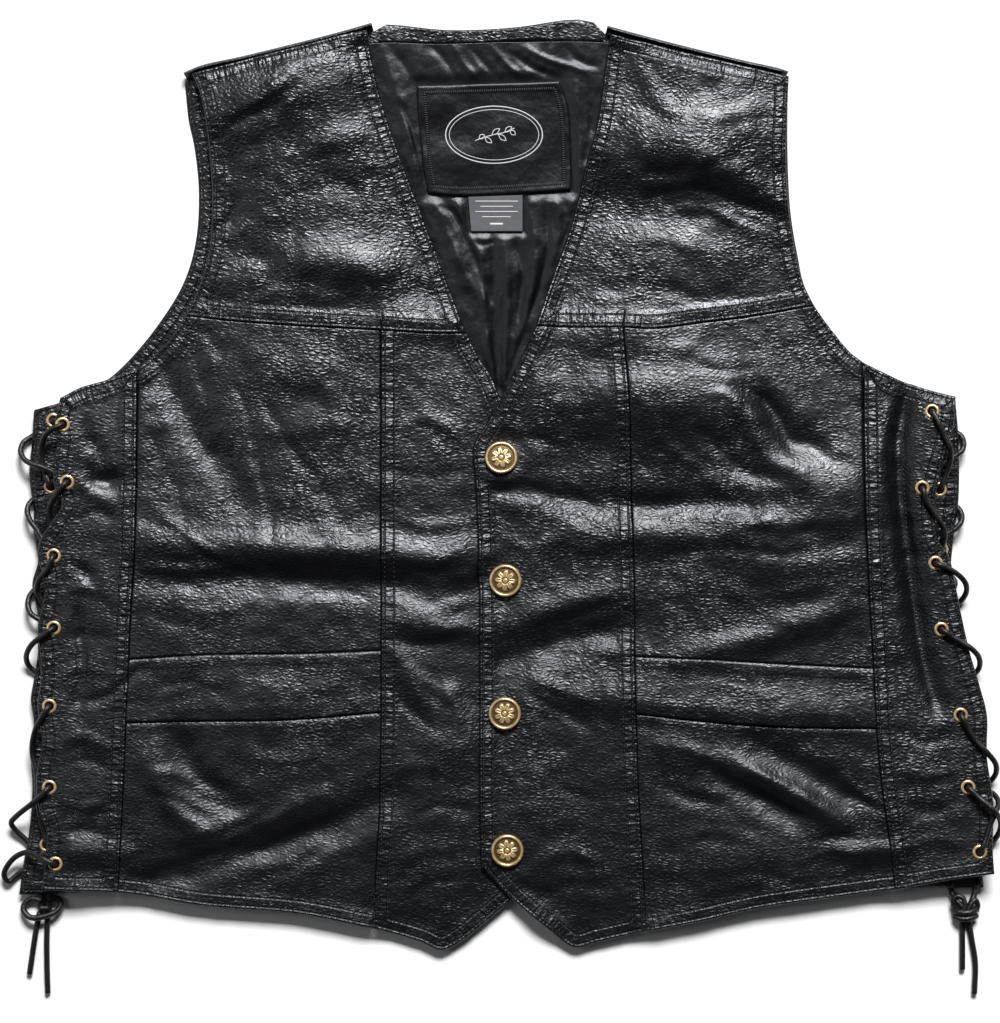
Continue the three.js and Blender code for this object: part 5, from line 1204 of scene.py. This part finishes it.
# Stitch lines inside the panels, by pixels of the photograph's frame
INNER_LINES = {
    "side_left": [[(103, 392), (99, 430), (96, 480), (91, 560), (87, 640), (83, 720), (77, 800), (75, 884)]],
    "middle_upper_left": [
        [(184, 350), (180, 430), (178, 490), (177, 527), (220, 530), (270, 528)],
        [(268, 392), (270, 470), (272, 540)],
    ],
    "side_right": [
        [(905, 390), (903, 450), (906, 520), (913, 600), (922, 660), (934, 720), (944, 780), (950, 868)],
    ],
    "centre_right": [[(552, 448), (554, 500), (548, 534), (546, 590)]],
}


def stitch_points(line, centre, first=STITCH_PITCH / 2, spare=0.0):
    """Points at the stitch pitch along a line, with directions along it and towards the centre."""
    total = lengths(line)[-1]
    t = np.arange(first, total - spare, STITCH_PITCH) / total
    p = at(line, t)
    along = unit(at(line, np.minimum(t + 0.5 / total, 1)) - at(line, np.maximum(t - 0.5 / total, 0)))
    across = leftwards(along)
    if ((centre - p) * across).sum() < 0:
        across = -across
    return p, along, across


class Panel:
    """One sewn panel: its plan grid, its edges, and its height with seams and creases."""

    def __init__(self, name, side_name, grid):
        self.name = f"{name}_{side_name}"
        self.side, self.top, _ = SIDES[side_name]
        self.grid = grid
        self.edges = [(curve(self.side[key], 12), *rest) for key, *rest in EDGES[name]]
        self.border = rim_of(grid)
        self.lift = WELT_LIFT if name == "pocket_welt" else 0.0
        self.lines = [curve([px(*p) for p in line], 12) for line in INNER_LINES.get(self.name, [])]
        if name == "pocket_welt":
            self.lines.append(self.edges[1][0] - np.array([0, WELT_ROW]))

    def height(self, x, y):
        from_side = distance(x, y, self.side["side"])
        z = self.top(x, y) + relief(x, y, from_side) + self.lift
        raised = np.zeros(np.shape(x))
        for line, _, _, lap in self.edges:
            if lap:
                d, s = nearest(x, y, line)
                pucker = wave(s, d, 3.6, 30, 8) * smooth((13 - d) / 6) * 0.22
                strip = lap * smooth((12.5 - d) / 3.4) * (1 + 0.3 * wave(s, d, 15, 40, 9))
                raised = np.maximum(raised, strip) + pucker
        if self.name.startswith(("pocket_welt", "middle_lower")):
            under = TUCK_WIDTH - nearest(x, y, self.edges[1][0])[0]
            raised = raised - TUCK_SLOPE * np.clip(under, 0, TUCK_WIDTH)
        z = np.maximum(z, back_top(x, y) + LEATHER + 1.6)
        for line in self.lines:
            d, s = nearest(x, y, line)
            raised = raised - 0.35 * np.exp(-(d / 1.6) ** 2)
            raised += 0.15 * wave(s, d, 3.6, 30, 11) * smooth((7 - d) / 5)
        return z + raised

    def seam_values(self, x, y):
        best = np.full(np.shape(x), FAR_FROM_SEAM)
        along = np.zeros(np.shape(x))
        for line, _, count, _ in self.edges:
            if count:
                d, s = nearest(x, y, line)
                along = np.where(d < best, s, along)
                best = np.minimum(best, d)
        return best, along

    def build(self, holes=()):
        x, y = self.grid[..., 0], self.grid[..., 1]
        flat = np.stack([x, y, self.height(x, y)], -1)
        normal = normals_of(flat)
        drop = edge_drop(x, y, [(line, radius) for line, radius, _, _ in self.edges])
        wall = LEATHER + self.lift
        inner = flat - normal * wall
        outer = flat - normal * np.minimum(drop, wall - 0.35)[..., None]
        keep = open_cells(x, y, holes, EYELET_RADIUS - 0.5) if len(holes) else None
        piece, used = shell(self.name + "_skin", outer, inner, LEATHER_SKIN, keep, not len(holes))
        set_seams(piece, used, *self.seam_values(x.ravel()[used], y.ravel()[used]))
        return piece

    def stitches(self):
        """Places of the stitches: middle, direction along the row."""
        centre = self.border.mean(axis=0)
        stitched = [(line, count) for line, _, count, _ in self.edges if count]
        places = []
        for line, count in stitched:
            p, along, across = stitch_points(line, centre)
            for row in STITCH_ROWS[:count]:
                q = p + across * row
                good = inside(q[:, 0], q[:, 1], self.border)
                good &= nearest(q[:, 0], q[:, 1], line)[0] > row - 0.4
                for other, other_count in stitched:
                    if other is not line and other_count >= count:
                        good &= nearest(q[:, 0], q[:, 1], other)[0] > row - 0.4
                places.append(np.hstack([q[good], along[good]]))
        for line in self.lines:
            p, along, _ = stitch_points(line, centre)
            good = inside(p[:, 0], p[:, 1], self.border)
            places.append(np.hstack([p[good], along[good]]))
        return np.vstack([np.zeros((0, 4)), *places])


def stitch_mesh(name, places, heights, slopes, material=BLACK_THREAD, radius=0.34, length=2.3):
    """Many small stitches in one mesh."""
    n = len(places)
    along = unit(np.hstack([places[:, 2:4], slopes[:, None]]))
    centre = np.hstack([places[:, :2], (heights + 0.05)[:, None]])
    side = unit(np.cross(along, (0, 0, 1.0)))
    up = np.cross(side, along)
    verts = np.zeros((n, 14, 3))
    ring = [(1, 0), (0, 1), (-1, 0), (0, -1)]
    for j, (f, r) in enumerate(((-0.36, 0.9), (0.0, 1.1), (0.36, 0.9))):
        for i, (a, b) in enumerate(ring):
            verts[:, 4 * j + i] = centre + along * length * f + (side * a + up * b) * radius * r
    verts[:, 12] = centre - along * length / 2 - up * radius
    verts[:, 13] = centre + along * length / 2 - up * radius
    tris = []
    for i in range(4):
        tris.append([12, (i + 1) % 4, i])
        tris.append([13, 8 + i, 8 + (i + 1) % 4])
    offset = 14 * np.arange(n)[:, None, None]
    faces = (np.array(ring_faces(3, 4))[None] + offset).reshape(-1, 4).tolist()
    faces += (np.array(tris)[None] + offset).reshape(-1, 3).tolist()
    piece = new_mesh(name, verts.reshape(-1, 3), faces, material)
    return piece


for side_name, (side, top, sign) in SIDES.items():
    stitched = []
    for name, grid in panel_grids(side, sign).items():
        panel = Panel(name, side_name, grid)
        holes = [row[:2] for row in EYELETS[side_name]] if name == "side" else ()
        piece = panel.build(holes)
        dress(panel.name)
        places = panel.stitches()
        x, y = places[:, 0], places[:, 1]
        z = panel.height(x, y)
        ahead = panel.height(x + places[:, 2], y + places[:, 3])
        stitched.append((places, z, ahead - z))
    places, heights, slopes = [np.concatenate(part) for part in zip(*stitched)]
    stitch_mesh(f"stitching_{side_name}", places, heights, slopes)


# Back, with the rolls over the shoulders
def fold_line(rows, cells):
    p = at(curve(rows), np.linspace(0, 1, cells + 1))
    return p, leftwards(unit(np.gradient(p, axis=0)))


def make_back():
    rows = np.linspace(0, 1, 271)
    fold_cells, neck_cells = 24, 16
    fold_left, out_left = fold_line(LEFT["fold"], fold_cells)
    fold_right, out_right = fold_line(RIGHT["fold"][::-1], fold_cells)
    top = np.vstack([
        fold_left - out_left * ROLL_RADIUS,
        at(curve(BACK["neck"]), np.linspace(0, 1, neck_cells + 1))[1:-1],
        fold_right - out_right * ROLL_RADIUS,
    ])

    def flank(name, end):
        line = np.vstack([curve(BACK["side_" + name]), curve(BACK["arm_" + name])[1:]])
        return np.vstack([line[line[:, 1] < end[1] - 0.4], end])

    left, right = flank("left", top[0]), flank("right", top[-1])
    columns = len(top) - 1
    span = BACK["hem"][4][0] - BACK["hem"][0][0]
    edge = np.linspace(0, 48, fold_cells + 1)
    inner = np.linspace(48, span - 48, columns - 2 * fold_cells + 1)[1:-1]
    x = BACK["hem"][0][0] + np.concatenate([edge, inner, span - edge[::-1]])
    hem = curve(BACK["hem"])
    low = np.stack([x, np.interp(x, hem[:, 0], hem[:, 1])], -1)
    grid = patch(low, top, at(left, rows), at(right, rows))
    x, y = grid[..., 0], grid[..., 1]
    z = back_top(x, y)
    lifted = smooth((z - BACK_LEATHER) / BACK_LIFT)
    z = z + lifted * (0.35 * wave(x, y, 20, 12, 21) + 0.2 * wave(x, y, 8, 5, 22))
    flat = np.stack([x, y, z], -1)
    holes = [row[2:4] for rows in EYELETS.values() for row in rows]
    keep = open_cells(x, y, holes, EYELET_RADIUS - 0.3)
    drop = edge_drop(x, y, [(line, BACK_ROLL) for line in (left, right, hem, curve(BACK["neck"]))])
    outer = flat - np.stack([0 * x, 0 * x, np.minimum(drop, 0.9)], -1)
    inner = flat - np.array([0, 0, BACK_LEATHER])
    inner[..., 2] = np.maximum(inner[..., 2], 0.02)
    piece, used = shell("back_skin", outer, inner, LEATHER_SKIN, keep, False)
    d, s = np.array([nearest(x, y, line) for line in (left, right, hem)]).transpose(1, 0, 2, 3)
    best = d.argmin(axis=0)[None]
    d, s = [np.take_along_axis(v, best, 0).ravel()[used] for v in (d, s)]
    set_seams(piece, used, d, s)
    pieces = [piece]
    for name, line, out in (("left", fold_left, out_left), ("right", fold_right, out_right)):
        grids = []
        for radius in (ROLL_RADIUS, ROLL_RADIUS - BACK_LEATHER):
            angle = np.radians(np.linspace(-90, 52, 19))[:, None, None]
            xy = line[None] + out[None] * (radius * np.cos(angle) - ROLL_RADIUS)
            z = np.broadcast_to(ROLL_CENTRE + radius * np.sin(angle), xy[..., :1].shape)
            grids.append(np.concatenate([xy, z], -1))
        piece, used = shell(f"shoulder_roll_{name}", grids[0], grids[1], LEATHER_SKIN, None, False)
        set_seams(piece, used)
        pieces.append(piece)
    return pieces


back_pieces = make_back()
dress("back")
back_places = []
flanks = [BACK["side_" + k] + BACK["arm_" + k][1:] for k in ("left", "right")]
for rows in flanks + [BACK["hem"]]:
    p, along, across = stitch_points(curve(rows, 12), (0.0, -20.0), STITCH_PITCH, 3)
    back_places.append(np.hstack([p + across * STITCH_ROWS[0], along]))
back_places = np.vstack(back_places)
bx, by = back_places[:, 0], back_places[:, 1]
stitch_mesh("stitching_back", back_places, back_top(bx, by) + 0.1, 0 * bx)


# Inside the neck
def inner_sheet(name, grid, z, wall, look, node):
    outer = np.concatenate([grid, z[..., None]], -1)
    piece, used = shell(name, outer, outer - np.array([0, 0, wall]), look)
    set_seams(piece, used)
    dress(node)


def inner_grid(name, w, t):
    """Plan grid of a sheet inside the neck. Sides with no line of their own are straight."""
    low, top = INSIDE[name + "_low"], INSIDE[name + "_top"]
    left = INSIDE.get(name + "_left", [low[0], top[0]])
    right = INSIDE.get(name + "_right", [low[-1], top[-1]])
    return patch(*[at(curve(rows), f) for rows, f in ((low, w), (top, w), (left, t), (right, t))])


def box_of(name):
    low, top = INSIDE[name + "_low"], INSIDE[name + "_top"]
    return [low[0], low[-1], top[-1], top[0]]


def freedom(x, y, box, reach):
    """0 under a sewn patch, and up to 1 within its reach around it."""
    around = smooth(distance(x, y, box + box[:1]) / reach)
    return np.where(inside(x, y, np.array(box, float)), 0.0, around)


grid = inner_grid("lining", spread(165, 1.3), spread(300, 1.4))
x, y = grid[..., 0], grid[..., 1]
free = freedom(x, y, box_of("label"), 9) * freedom(x, y, box_of("tab"), 6)
narrow = [(points, 0.72 * width, 0.9 * height) for points, width, height in LINING_WRINKLES]
wrinkles = crease_height(x, y, narrow) + 0.5 * wave(x, y, 11, 16, 31) + 0.25 * wave(x, y, 5, 8, 32)
z = back_top(x, y) + LIE_GAP + LINING + np.clip(0.4 + free * (1.3 + 1.0 * wrinkles), 0, 1.0 + 3.2 * free)
inner_sheet(
    "lining_skin", grid, z, LINING * 0.8, LINING_CLOTH, "back_lining",
)

grid = inner_grid("facing", spread(155, RIM_STEP), spread(12, 1.2))
x, y = grid[..., 0], grid[..., 1]
d, s = nearest(x, y, curve(INSIDE["facing_low"]))
z = back_top(x, y) + LIE_GAP + LEATHER + 0.25 * wave(s, d, 5, 12, 41) - 0.7 * smooth((1.4 - d) / 1.4)
inner_sheet(
    "neck_facing_skin", grid, z, LEATHER * 0.8, LEATHER_SKIN, "neck_facing",
)

LABEL_TOP = BACK_LEATHER + 2 * LIE_GAP + 2 * LINING + 1.0
grid = inner_grid("label", spread(104, RIM_STEP), spread(76, RIM_STEP))


def label_height(x, y):
    return LABEL_TOP + 0.75 * wave(x - 0.4 * y, y, 24, 20, 51) + 0.12 * wave(x, y, 9, 9, 52)


x, y = grid[..., 0], grid[..., 1]
border = rim_of(grid)
edge = nearest(x, y, np.vstack([border, border[:1]]))[0]
z = label_height(x, y) + 0.3 * smooth((4.2 - edge) / 1.2) - 0.5 * smooth((0.9 - edge) / 0.9)
inner_sheet("label_skin", grid, z, LINING * 0.8, LABEL_CLOTH, "label_patch")

grid = inner_grid("tab", spread(36, RIM_STEP), spread(24, RIM_STEP))


def tab_height(x, y):
    return LABEL_TOP - 0.2 + 0.2 * wave(x, y, 18, 14, 61)


z = tab_height(grid[..., 0], grid[..., 1])
inner_sheet("size_tab_skin", grid, z, LINING * 0.7, TAB_CLOTH, "size_tab")


# Woven lines on the label: a plain oval with a small leaf sprig
def ribbon(points, width, height, closed=False):
    """A flat strip along a line in plan, with heights from a function."""
    p = np.array(points, float)
    along = np.roll(p, -1, 0) - np.roll(p, 1, 0) if closed else np.gradient(p, axis=0)
    across = leftwards(unit(along)) * width / 2
    rows = []
    for f, lift in ((-1, -0.1), (-0.8, 0.14), (0.8, 0.14), (1, -0.1)):
        q = p + across * f
        rows.append(np.column_stack([q, height(q[:, 0], q[:, 1]) + lift]))
    n = len(p)
    verts = np.vstack(rows)
    faces = []
    for i in range(n if closed else n - 1):
        j = (i + 1) % n
        for k in range(4):
            a, b = k * n, (k + 1) % 4 * n
            faces.append([a + i, a + j, b + j, b + i])
    if not closed:
        faces.append([0, n, 2 * n, 3 * n])
        faces.append([4 * n - 1, 3 * n - 1, 2 * n - 1, n - 1])
    return verts, faces


def ribbons(name, strips):
    verts, faces, count = [], [], 0
    for v, f in strips:
        verts.append(v)
        faces += [[k + count for k in face] for face in f]
        count += len(v)
    new_mesh(name, np.vstack(verts), faces, WHITE_YARN)


turn = np.linspace(0, 2 * np.pi, 72, endpoint=False)
centre = np.array(px(494, 134))


def oval(a, b):
    return centre + np.stack([a * np.cos(turn), b * np.sin(turn)], -1)


ovals = ((33, 19.5, 0.8), (30.5, 17.2, 0.5))
strips = [ribbon(oval(a, b), width, label_height, True) for a, b, width in ovals]
stem = centre + np.array([[-13, -4], [-6, -1.5], [0, 0], [7, 1.5], [14, 4.5]])
strips.append(ribbon(at(curve(stem), np.linspace(0, 1, 24)), 0.7, label_height))
leaves = ((0.1, 5, 1), (0.25, 6.5, -1), (0.42, 7.5, 1), (0.58, 7.5, -1), (0.74, 6.5, 1), (0.88, 5, -1))
for f, size, flip in leaves:
    foot = at(curve(stem), np.array([f]))[0]
    tip = foot + size * np.array([0.75, 0.62 * flip])
    bow = (foot + tip) / 2 + np.array([-0.9, 1.4 * flip])
    other = (foot + tip) / 2 + np.array([1.1, -0.9 * flip])
    for mid in (bow, other):
        strips.append(ribbon(at(curve([foot, mid, tip]), np.linspace(0, 1, 10)), 0.6, label_height))
ribbons("label_weave", strips)
ring = rim_of(inner_grid("label", np.linspace(0, 1, 41), np.linspace(0, 1, 31))[2:-2, 2:-2])
total = lengths(ring)[-1]
ring = at(ring, np.linspace(0, 1, int(total / 1.5)))
across = leftwards(unit(np.gradient(ring, axis=0)))
stitch_mesh(
    "label_border", np.hstack([ring, across]),
    label_height(ring[:, 0], ring[:, 1]) + 0.25, 0 * ring[:, 0], BLACK_THREAD, 0.5, 3.0,
)

bars = []
for row, (a, b) in enumerate(((475, 518), (480, 513), (475, 518), (482, 511), (490, 503))):
    y = 200.5 + 5.2 * row + (2 if row == 4 else 0)
    line = at(np.array([px(a, y), px(b, y)]), np.linspace(0, 1, 14))
    bars.append(ribbon(line, 0.7 if row < 4 else 1.6, tab_height))
ribbons("size_tab_bars", bars)


# Eyelets and snaps
def slope_normal(top, x, y):
    e = 0.5
    n = np.array([-(top(x + e, y) - top(x - e, y)), -(top(x, y + e) - top(x, y - e)), 2 * e])
    return unit(n)


def seat_on(top, x, y, radius):
    point = np.array([x, y, float(top(np.array(x), np.array(y)))])

    def height(u, v):
        return float(top(np.array(u), np.array(v)))

    angle = np.arange(12) * np.pi / 6
    normal = unit(sum(
        slope_normal(height, x + radius * math.cos(a), y + radius * math.sin(a)) for a in angle
    ))
    angle = np.arange(24) * np.pi / 12
    offsets = []
    for r in (radius, radius * 0.5):
        u, v = x + r * np.cos(angle), y + r * np.sin(angle)
        offsets.append((np.column_stack([u, v, top(u, v)]) - point) @ normal)
    offsets = np.concatenate(offsets)
    return point, normal, offsets.max(), offsets.min()


def eyelet(name, seat, wall):
    point, normal, rise, drop = seat
    above = rise + 0.15
    below = wall - drop + 0.42
    profile = [
        (EYELET_BORE, -below), (EYELET_BORE + 0.2, -below - 0.4), (EYELET_RADIUS - 1.2, -below - 0.5),
        (EYELET_RADIUS - 0.6, -below - 0.25), (EYELET_BARREL, -below), (EYELET_BARREL, above - 0.1),
        (EYELET_RADIUS - 0.2, above - 0.1), (EYELET_RADIUS, above + 0.12),
        (EYELET_RADIUS - 0.25, above + 0.5),
        (EYELET_RADIUS - 0.8, above + 0.82), (EYELET_RADIUS - 1.35, above + EYELET_LIP),
        (EYELET_RADIUS - 1.85, above + 0.72), (EYELET_BORE + 0.12, above + 0.3), (EYELET_BORE, -below),
    ]
    polish = [0, 0.1, 0.2, 0.2, 0, 0, 0.35, 0.6, 0.95, 1.0, 1.0, 0.8, 0.2, 0]
    angle = np.linspace(0, 2 * np.pi, EYELET_SIDES, endpoint=False)
    verts = np.array([(r * math.cos(a), r * math.sin(a), h) for r, h in profile for a in angle])
    faces = ring_faces(len(profile), EYELET_SIDES)
    piece = new_mesh(name + "_metal", place(verts, point, normal), faces, BRASS)
    set_attribute(piece, "polish", np.repeat(polish, EYELET_SIDES))
    dress(name)


SEATS = {}
for side_name, (side, top, sign) in SIDES.items():
    for i, row in enumerate(EYELETS[side_name], 1):
        front = seat_on(top, row[0], row[1], EYELET_RADIUS)
        rear = seat_on(back_top, row[2], row[3], EYELET_RADIUS)
        SEATS[side_name, "front", i] = front
        SEATS[side_name, "back", i] = rear
        eyelet(f"eyelet_front_{side_name}_{i}", front, LEATHER)
        eyelet(f"eyelet_back_{side_name}_{i}", rear, BACK_LEATHER)


def snap(name, seat, turn):
    """A cap with a raised rim and a plain eight-petal rosette."""
    point, normal, rise, _ = seat
    base = rise + 0.2
    rim = np.array([
        (8.1, 2.35, 0), (8.5, 2.35, 0), (8.8, 2.6, 0.15), (9.1, 3.1, 0.7), (9.6, 3.4, 1), (10.1, 3.4, 1),
        (10.5, 3.2, 0.9), (10.85, 2.8, 0.6), (11.1, 2.2, 0.4), (11.2, 1.4, 0.3), (11.0, 0.5, 0.2),
        (10.2, 0.0, 0.1),
    ])
    radii = np.concatenate([np.linspace(0, 7.6, 26), rim[:, 0]])
    sectors = 96
    angle = np.linspace(0, 2 * np.pi, sectors, endpoint=False)
    r, a = np.meshgrid(radii, angle, indexing="ij")
    field = 2.45 + 0.35 * (1 - (np.minimum(r, 8) / 8) ** 2)
    reach = 2.9 + 4.3 * np.abs(np.cos(4 * a)) ** 0.5
    petal = smooth((reach - r) / 0.9 + 0.3) * smooth((r - 2.0) / 0.7)
    vein = np.exp(-((np.abs(np.mod(a + np.pi / 8, np.pi / 4) - np.pi / 8) * r) / 0.28) ** 2)
    dome = smooth((2.1 - r) / 0.9)
    raised = petal * (0.95 - 0.3 * vein) * (1 - 0.3 * r / 7.6) + 0.75 * dome
    height = field + raised
    polish = np.where(r < 7.7, np.maximum(petal * (1 - 0.6 * vein), dome), 0.0)
    height[-len(rim):] = rim[:, 1:2]
    polish[-len(rim):] = rim[:, 2:]
    verts = np.stack([r * np.cos(a), r * np.sin(a), height + base], -1).reshape(-1, 3)
    last = (len(radii) - 1) * sectors
    verts = np.vstack([verts[sectors - 1:], [[0, 0, base]]])
    values = np.append(polish.reshape(-1)[sectors - 1:], 0.0)
    shifted = []
    for f in ring_faces(len(radii), sectors):
        f = [max(0, k - (sectors - 1)) for k in f]
        f = [k for n, k in enumerate(f) if k != f[n - 1]]
        shifted.append(f)
    foot = len(verts) - 1
    for i in range(sectors):
        shifted.append([last - sectors + 1 + (i + 1) % sectors, last - sectors + 1 + i, foot][::-1])
    piece = new_mesh(name + "_metal", place(verts, point, normal, turn), shifted, BRASS)
    set_attribute(piece, "polish", values)
    dress(name)


for i, (x, y) in enumerate(SNAPS):
    snap(f"snap_{i + 1}", seat_on(right_top, x, y, SNAP_RADIUS), 0.2 + 0.5 * i)


# Laces and knots
def lace_route(stops, side_name):
    plan = [SEATS[side_name, s[0], s[1]][0] if isinstance(s[0], str) else np.array(s, float) for s in stops]

    def heading(i, k):
        a = plan[max(0, min(len(plan) - 1, i))]
        b = plan[max(0, min(len(plan) - 1, k))]
        d = np.array([b[0] - a[0], b[1] - a[1], 0.0])
        return d / (np.linalg.norm(d) or 1)

    points = []
    for i, stop in enumerate(stops):
        if not isinstance(stop[0], str):
            points.append(plan[i])
            continue
        face, number, up, starts = stop
        point, _, rise, drop = SEATS[side_name, face, number]
        high = point[2] + rise + LACE_OVER
        low = point[2] - LEATHER + drop - LACE_BELOW if face == "front" else LACE_UNDER
        foot = np.array([point[0], point[1], 0.0])

        def step(direction, reach, z):
            p = foot + direction * reach
            p[2] = z
            return p

        into, out = heading(i - 1, i), heading(i, i + 1)
        a, b = (low, high) if up else (high, low)
        rising = 1 if b > a else -1
        if starts:
            points.append(step(into, 0, low + 1.5 if face == "front" else point[2] + 2))
        else:
            points.append(step(into, -BEND, a))
            points.append(step(into, -BEND * 0.3, a + rising * BEND * 0.3))
            points.append(step(into, 0, a + rising * BEND))
        points.append(step(out, 0, b - rising * BEND))
        points.append(step(out, BEND * 0.3, b - rising * BEND * 0.3))
        points.append(step(out, BEND, b))
    return points


for side_name, (first, second) in LACES.items():
    route = lace_route(first, side_name)[::-1] + lace_route(second, side_name)
    kept = [route[0]]
    for p in route[1:]:
        if np.linalg.norm(p - kept[-1]) > 0.6:
            kept.append(p)
    fine = curve(kept, 5)
    fine[:, 2] = np.maximum(fine[:, 2], LACE_RADIUS + 0.08)
    piece = join_tubes(f"lace_{side_name}", [(fine, LACE_RADIUS)], LACE_LEATHER, 10)
    dress(f"lacing_{side_name}")
    tubes = []
    for radius, rows in KNOTS[side_name]:
        line = at(curve(rows), np.linspace(0, 1, 48 if len(rows) > 2 else 12))
        tubes.append((line, radius))
    piece = join_tubes(f"knot_{side_name}", tubes, LACE_LEATHER)
    dress(f"lace_knot_{side_name}")


# Floor and light
floor_mesh = bpy.data.meshes.new("floor")
corners = [(a * FLOOR_REACH, b * FLOOR_REACH, -FLOOR_GAP) for a, b in ((-1, -1), (1, -1), (1, 1), (-1, 1))]
floor_mesh.from_pydata(corners, [], [(0, 1, 2, 3)])
floor = bpy.data.objects.new("floor", floor_mesh)
bpy.context.scene.collection.objects.link(floor)
floor_look, _, _, shader = material("pale_floor")
shader.inputs["Base Color"].default_value = (0.92, 0.92, 0.92, 1)
shader.inputs["Roughness"].default_value = 0.9
shader.inputs["Specular IOR Level"].default_value = 0.1
floor_mesh.materials.append(floor_look)

world = bpy.data.worlds.new("world")
bpy.context.scene.world = world
world.use_nodes = True
background = world.node_tree.nodes["Background"].inputs
background["Color"].default_value = (0.95, 0.97, 1.0, 1)
background["Strength"].default_value = 0.04


def softbox(name, place, size, power):
    """An area light that points at the middle of the vest."""
    data = bpy.data.lights.new(name, "AREA")
    data.shape = "RECTANGLE"
    data.size, data.size_y = size
    data.energy = power
    light = bpy.data.objects.new(name, data)
    light.location = place
    light.rotation_euler = (-Vector(place)).to_track_quat("-Z", "Y").to_euler()
    bpy.context.scene.collection.objects.link(light)


softbox("key", (0.9, 5.6, 5.6), (3.4, 2.1), 1080)
softbox("fill", (-1.9, 0.3, 1.9), (1.0, 1.6), 6)
bpy.context.scene.view_settings.view_transform = "Standard"
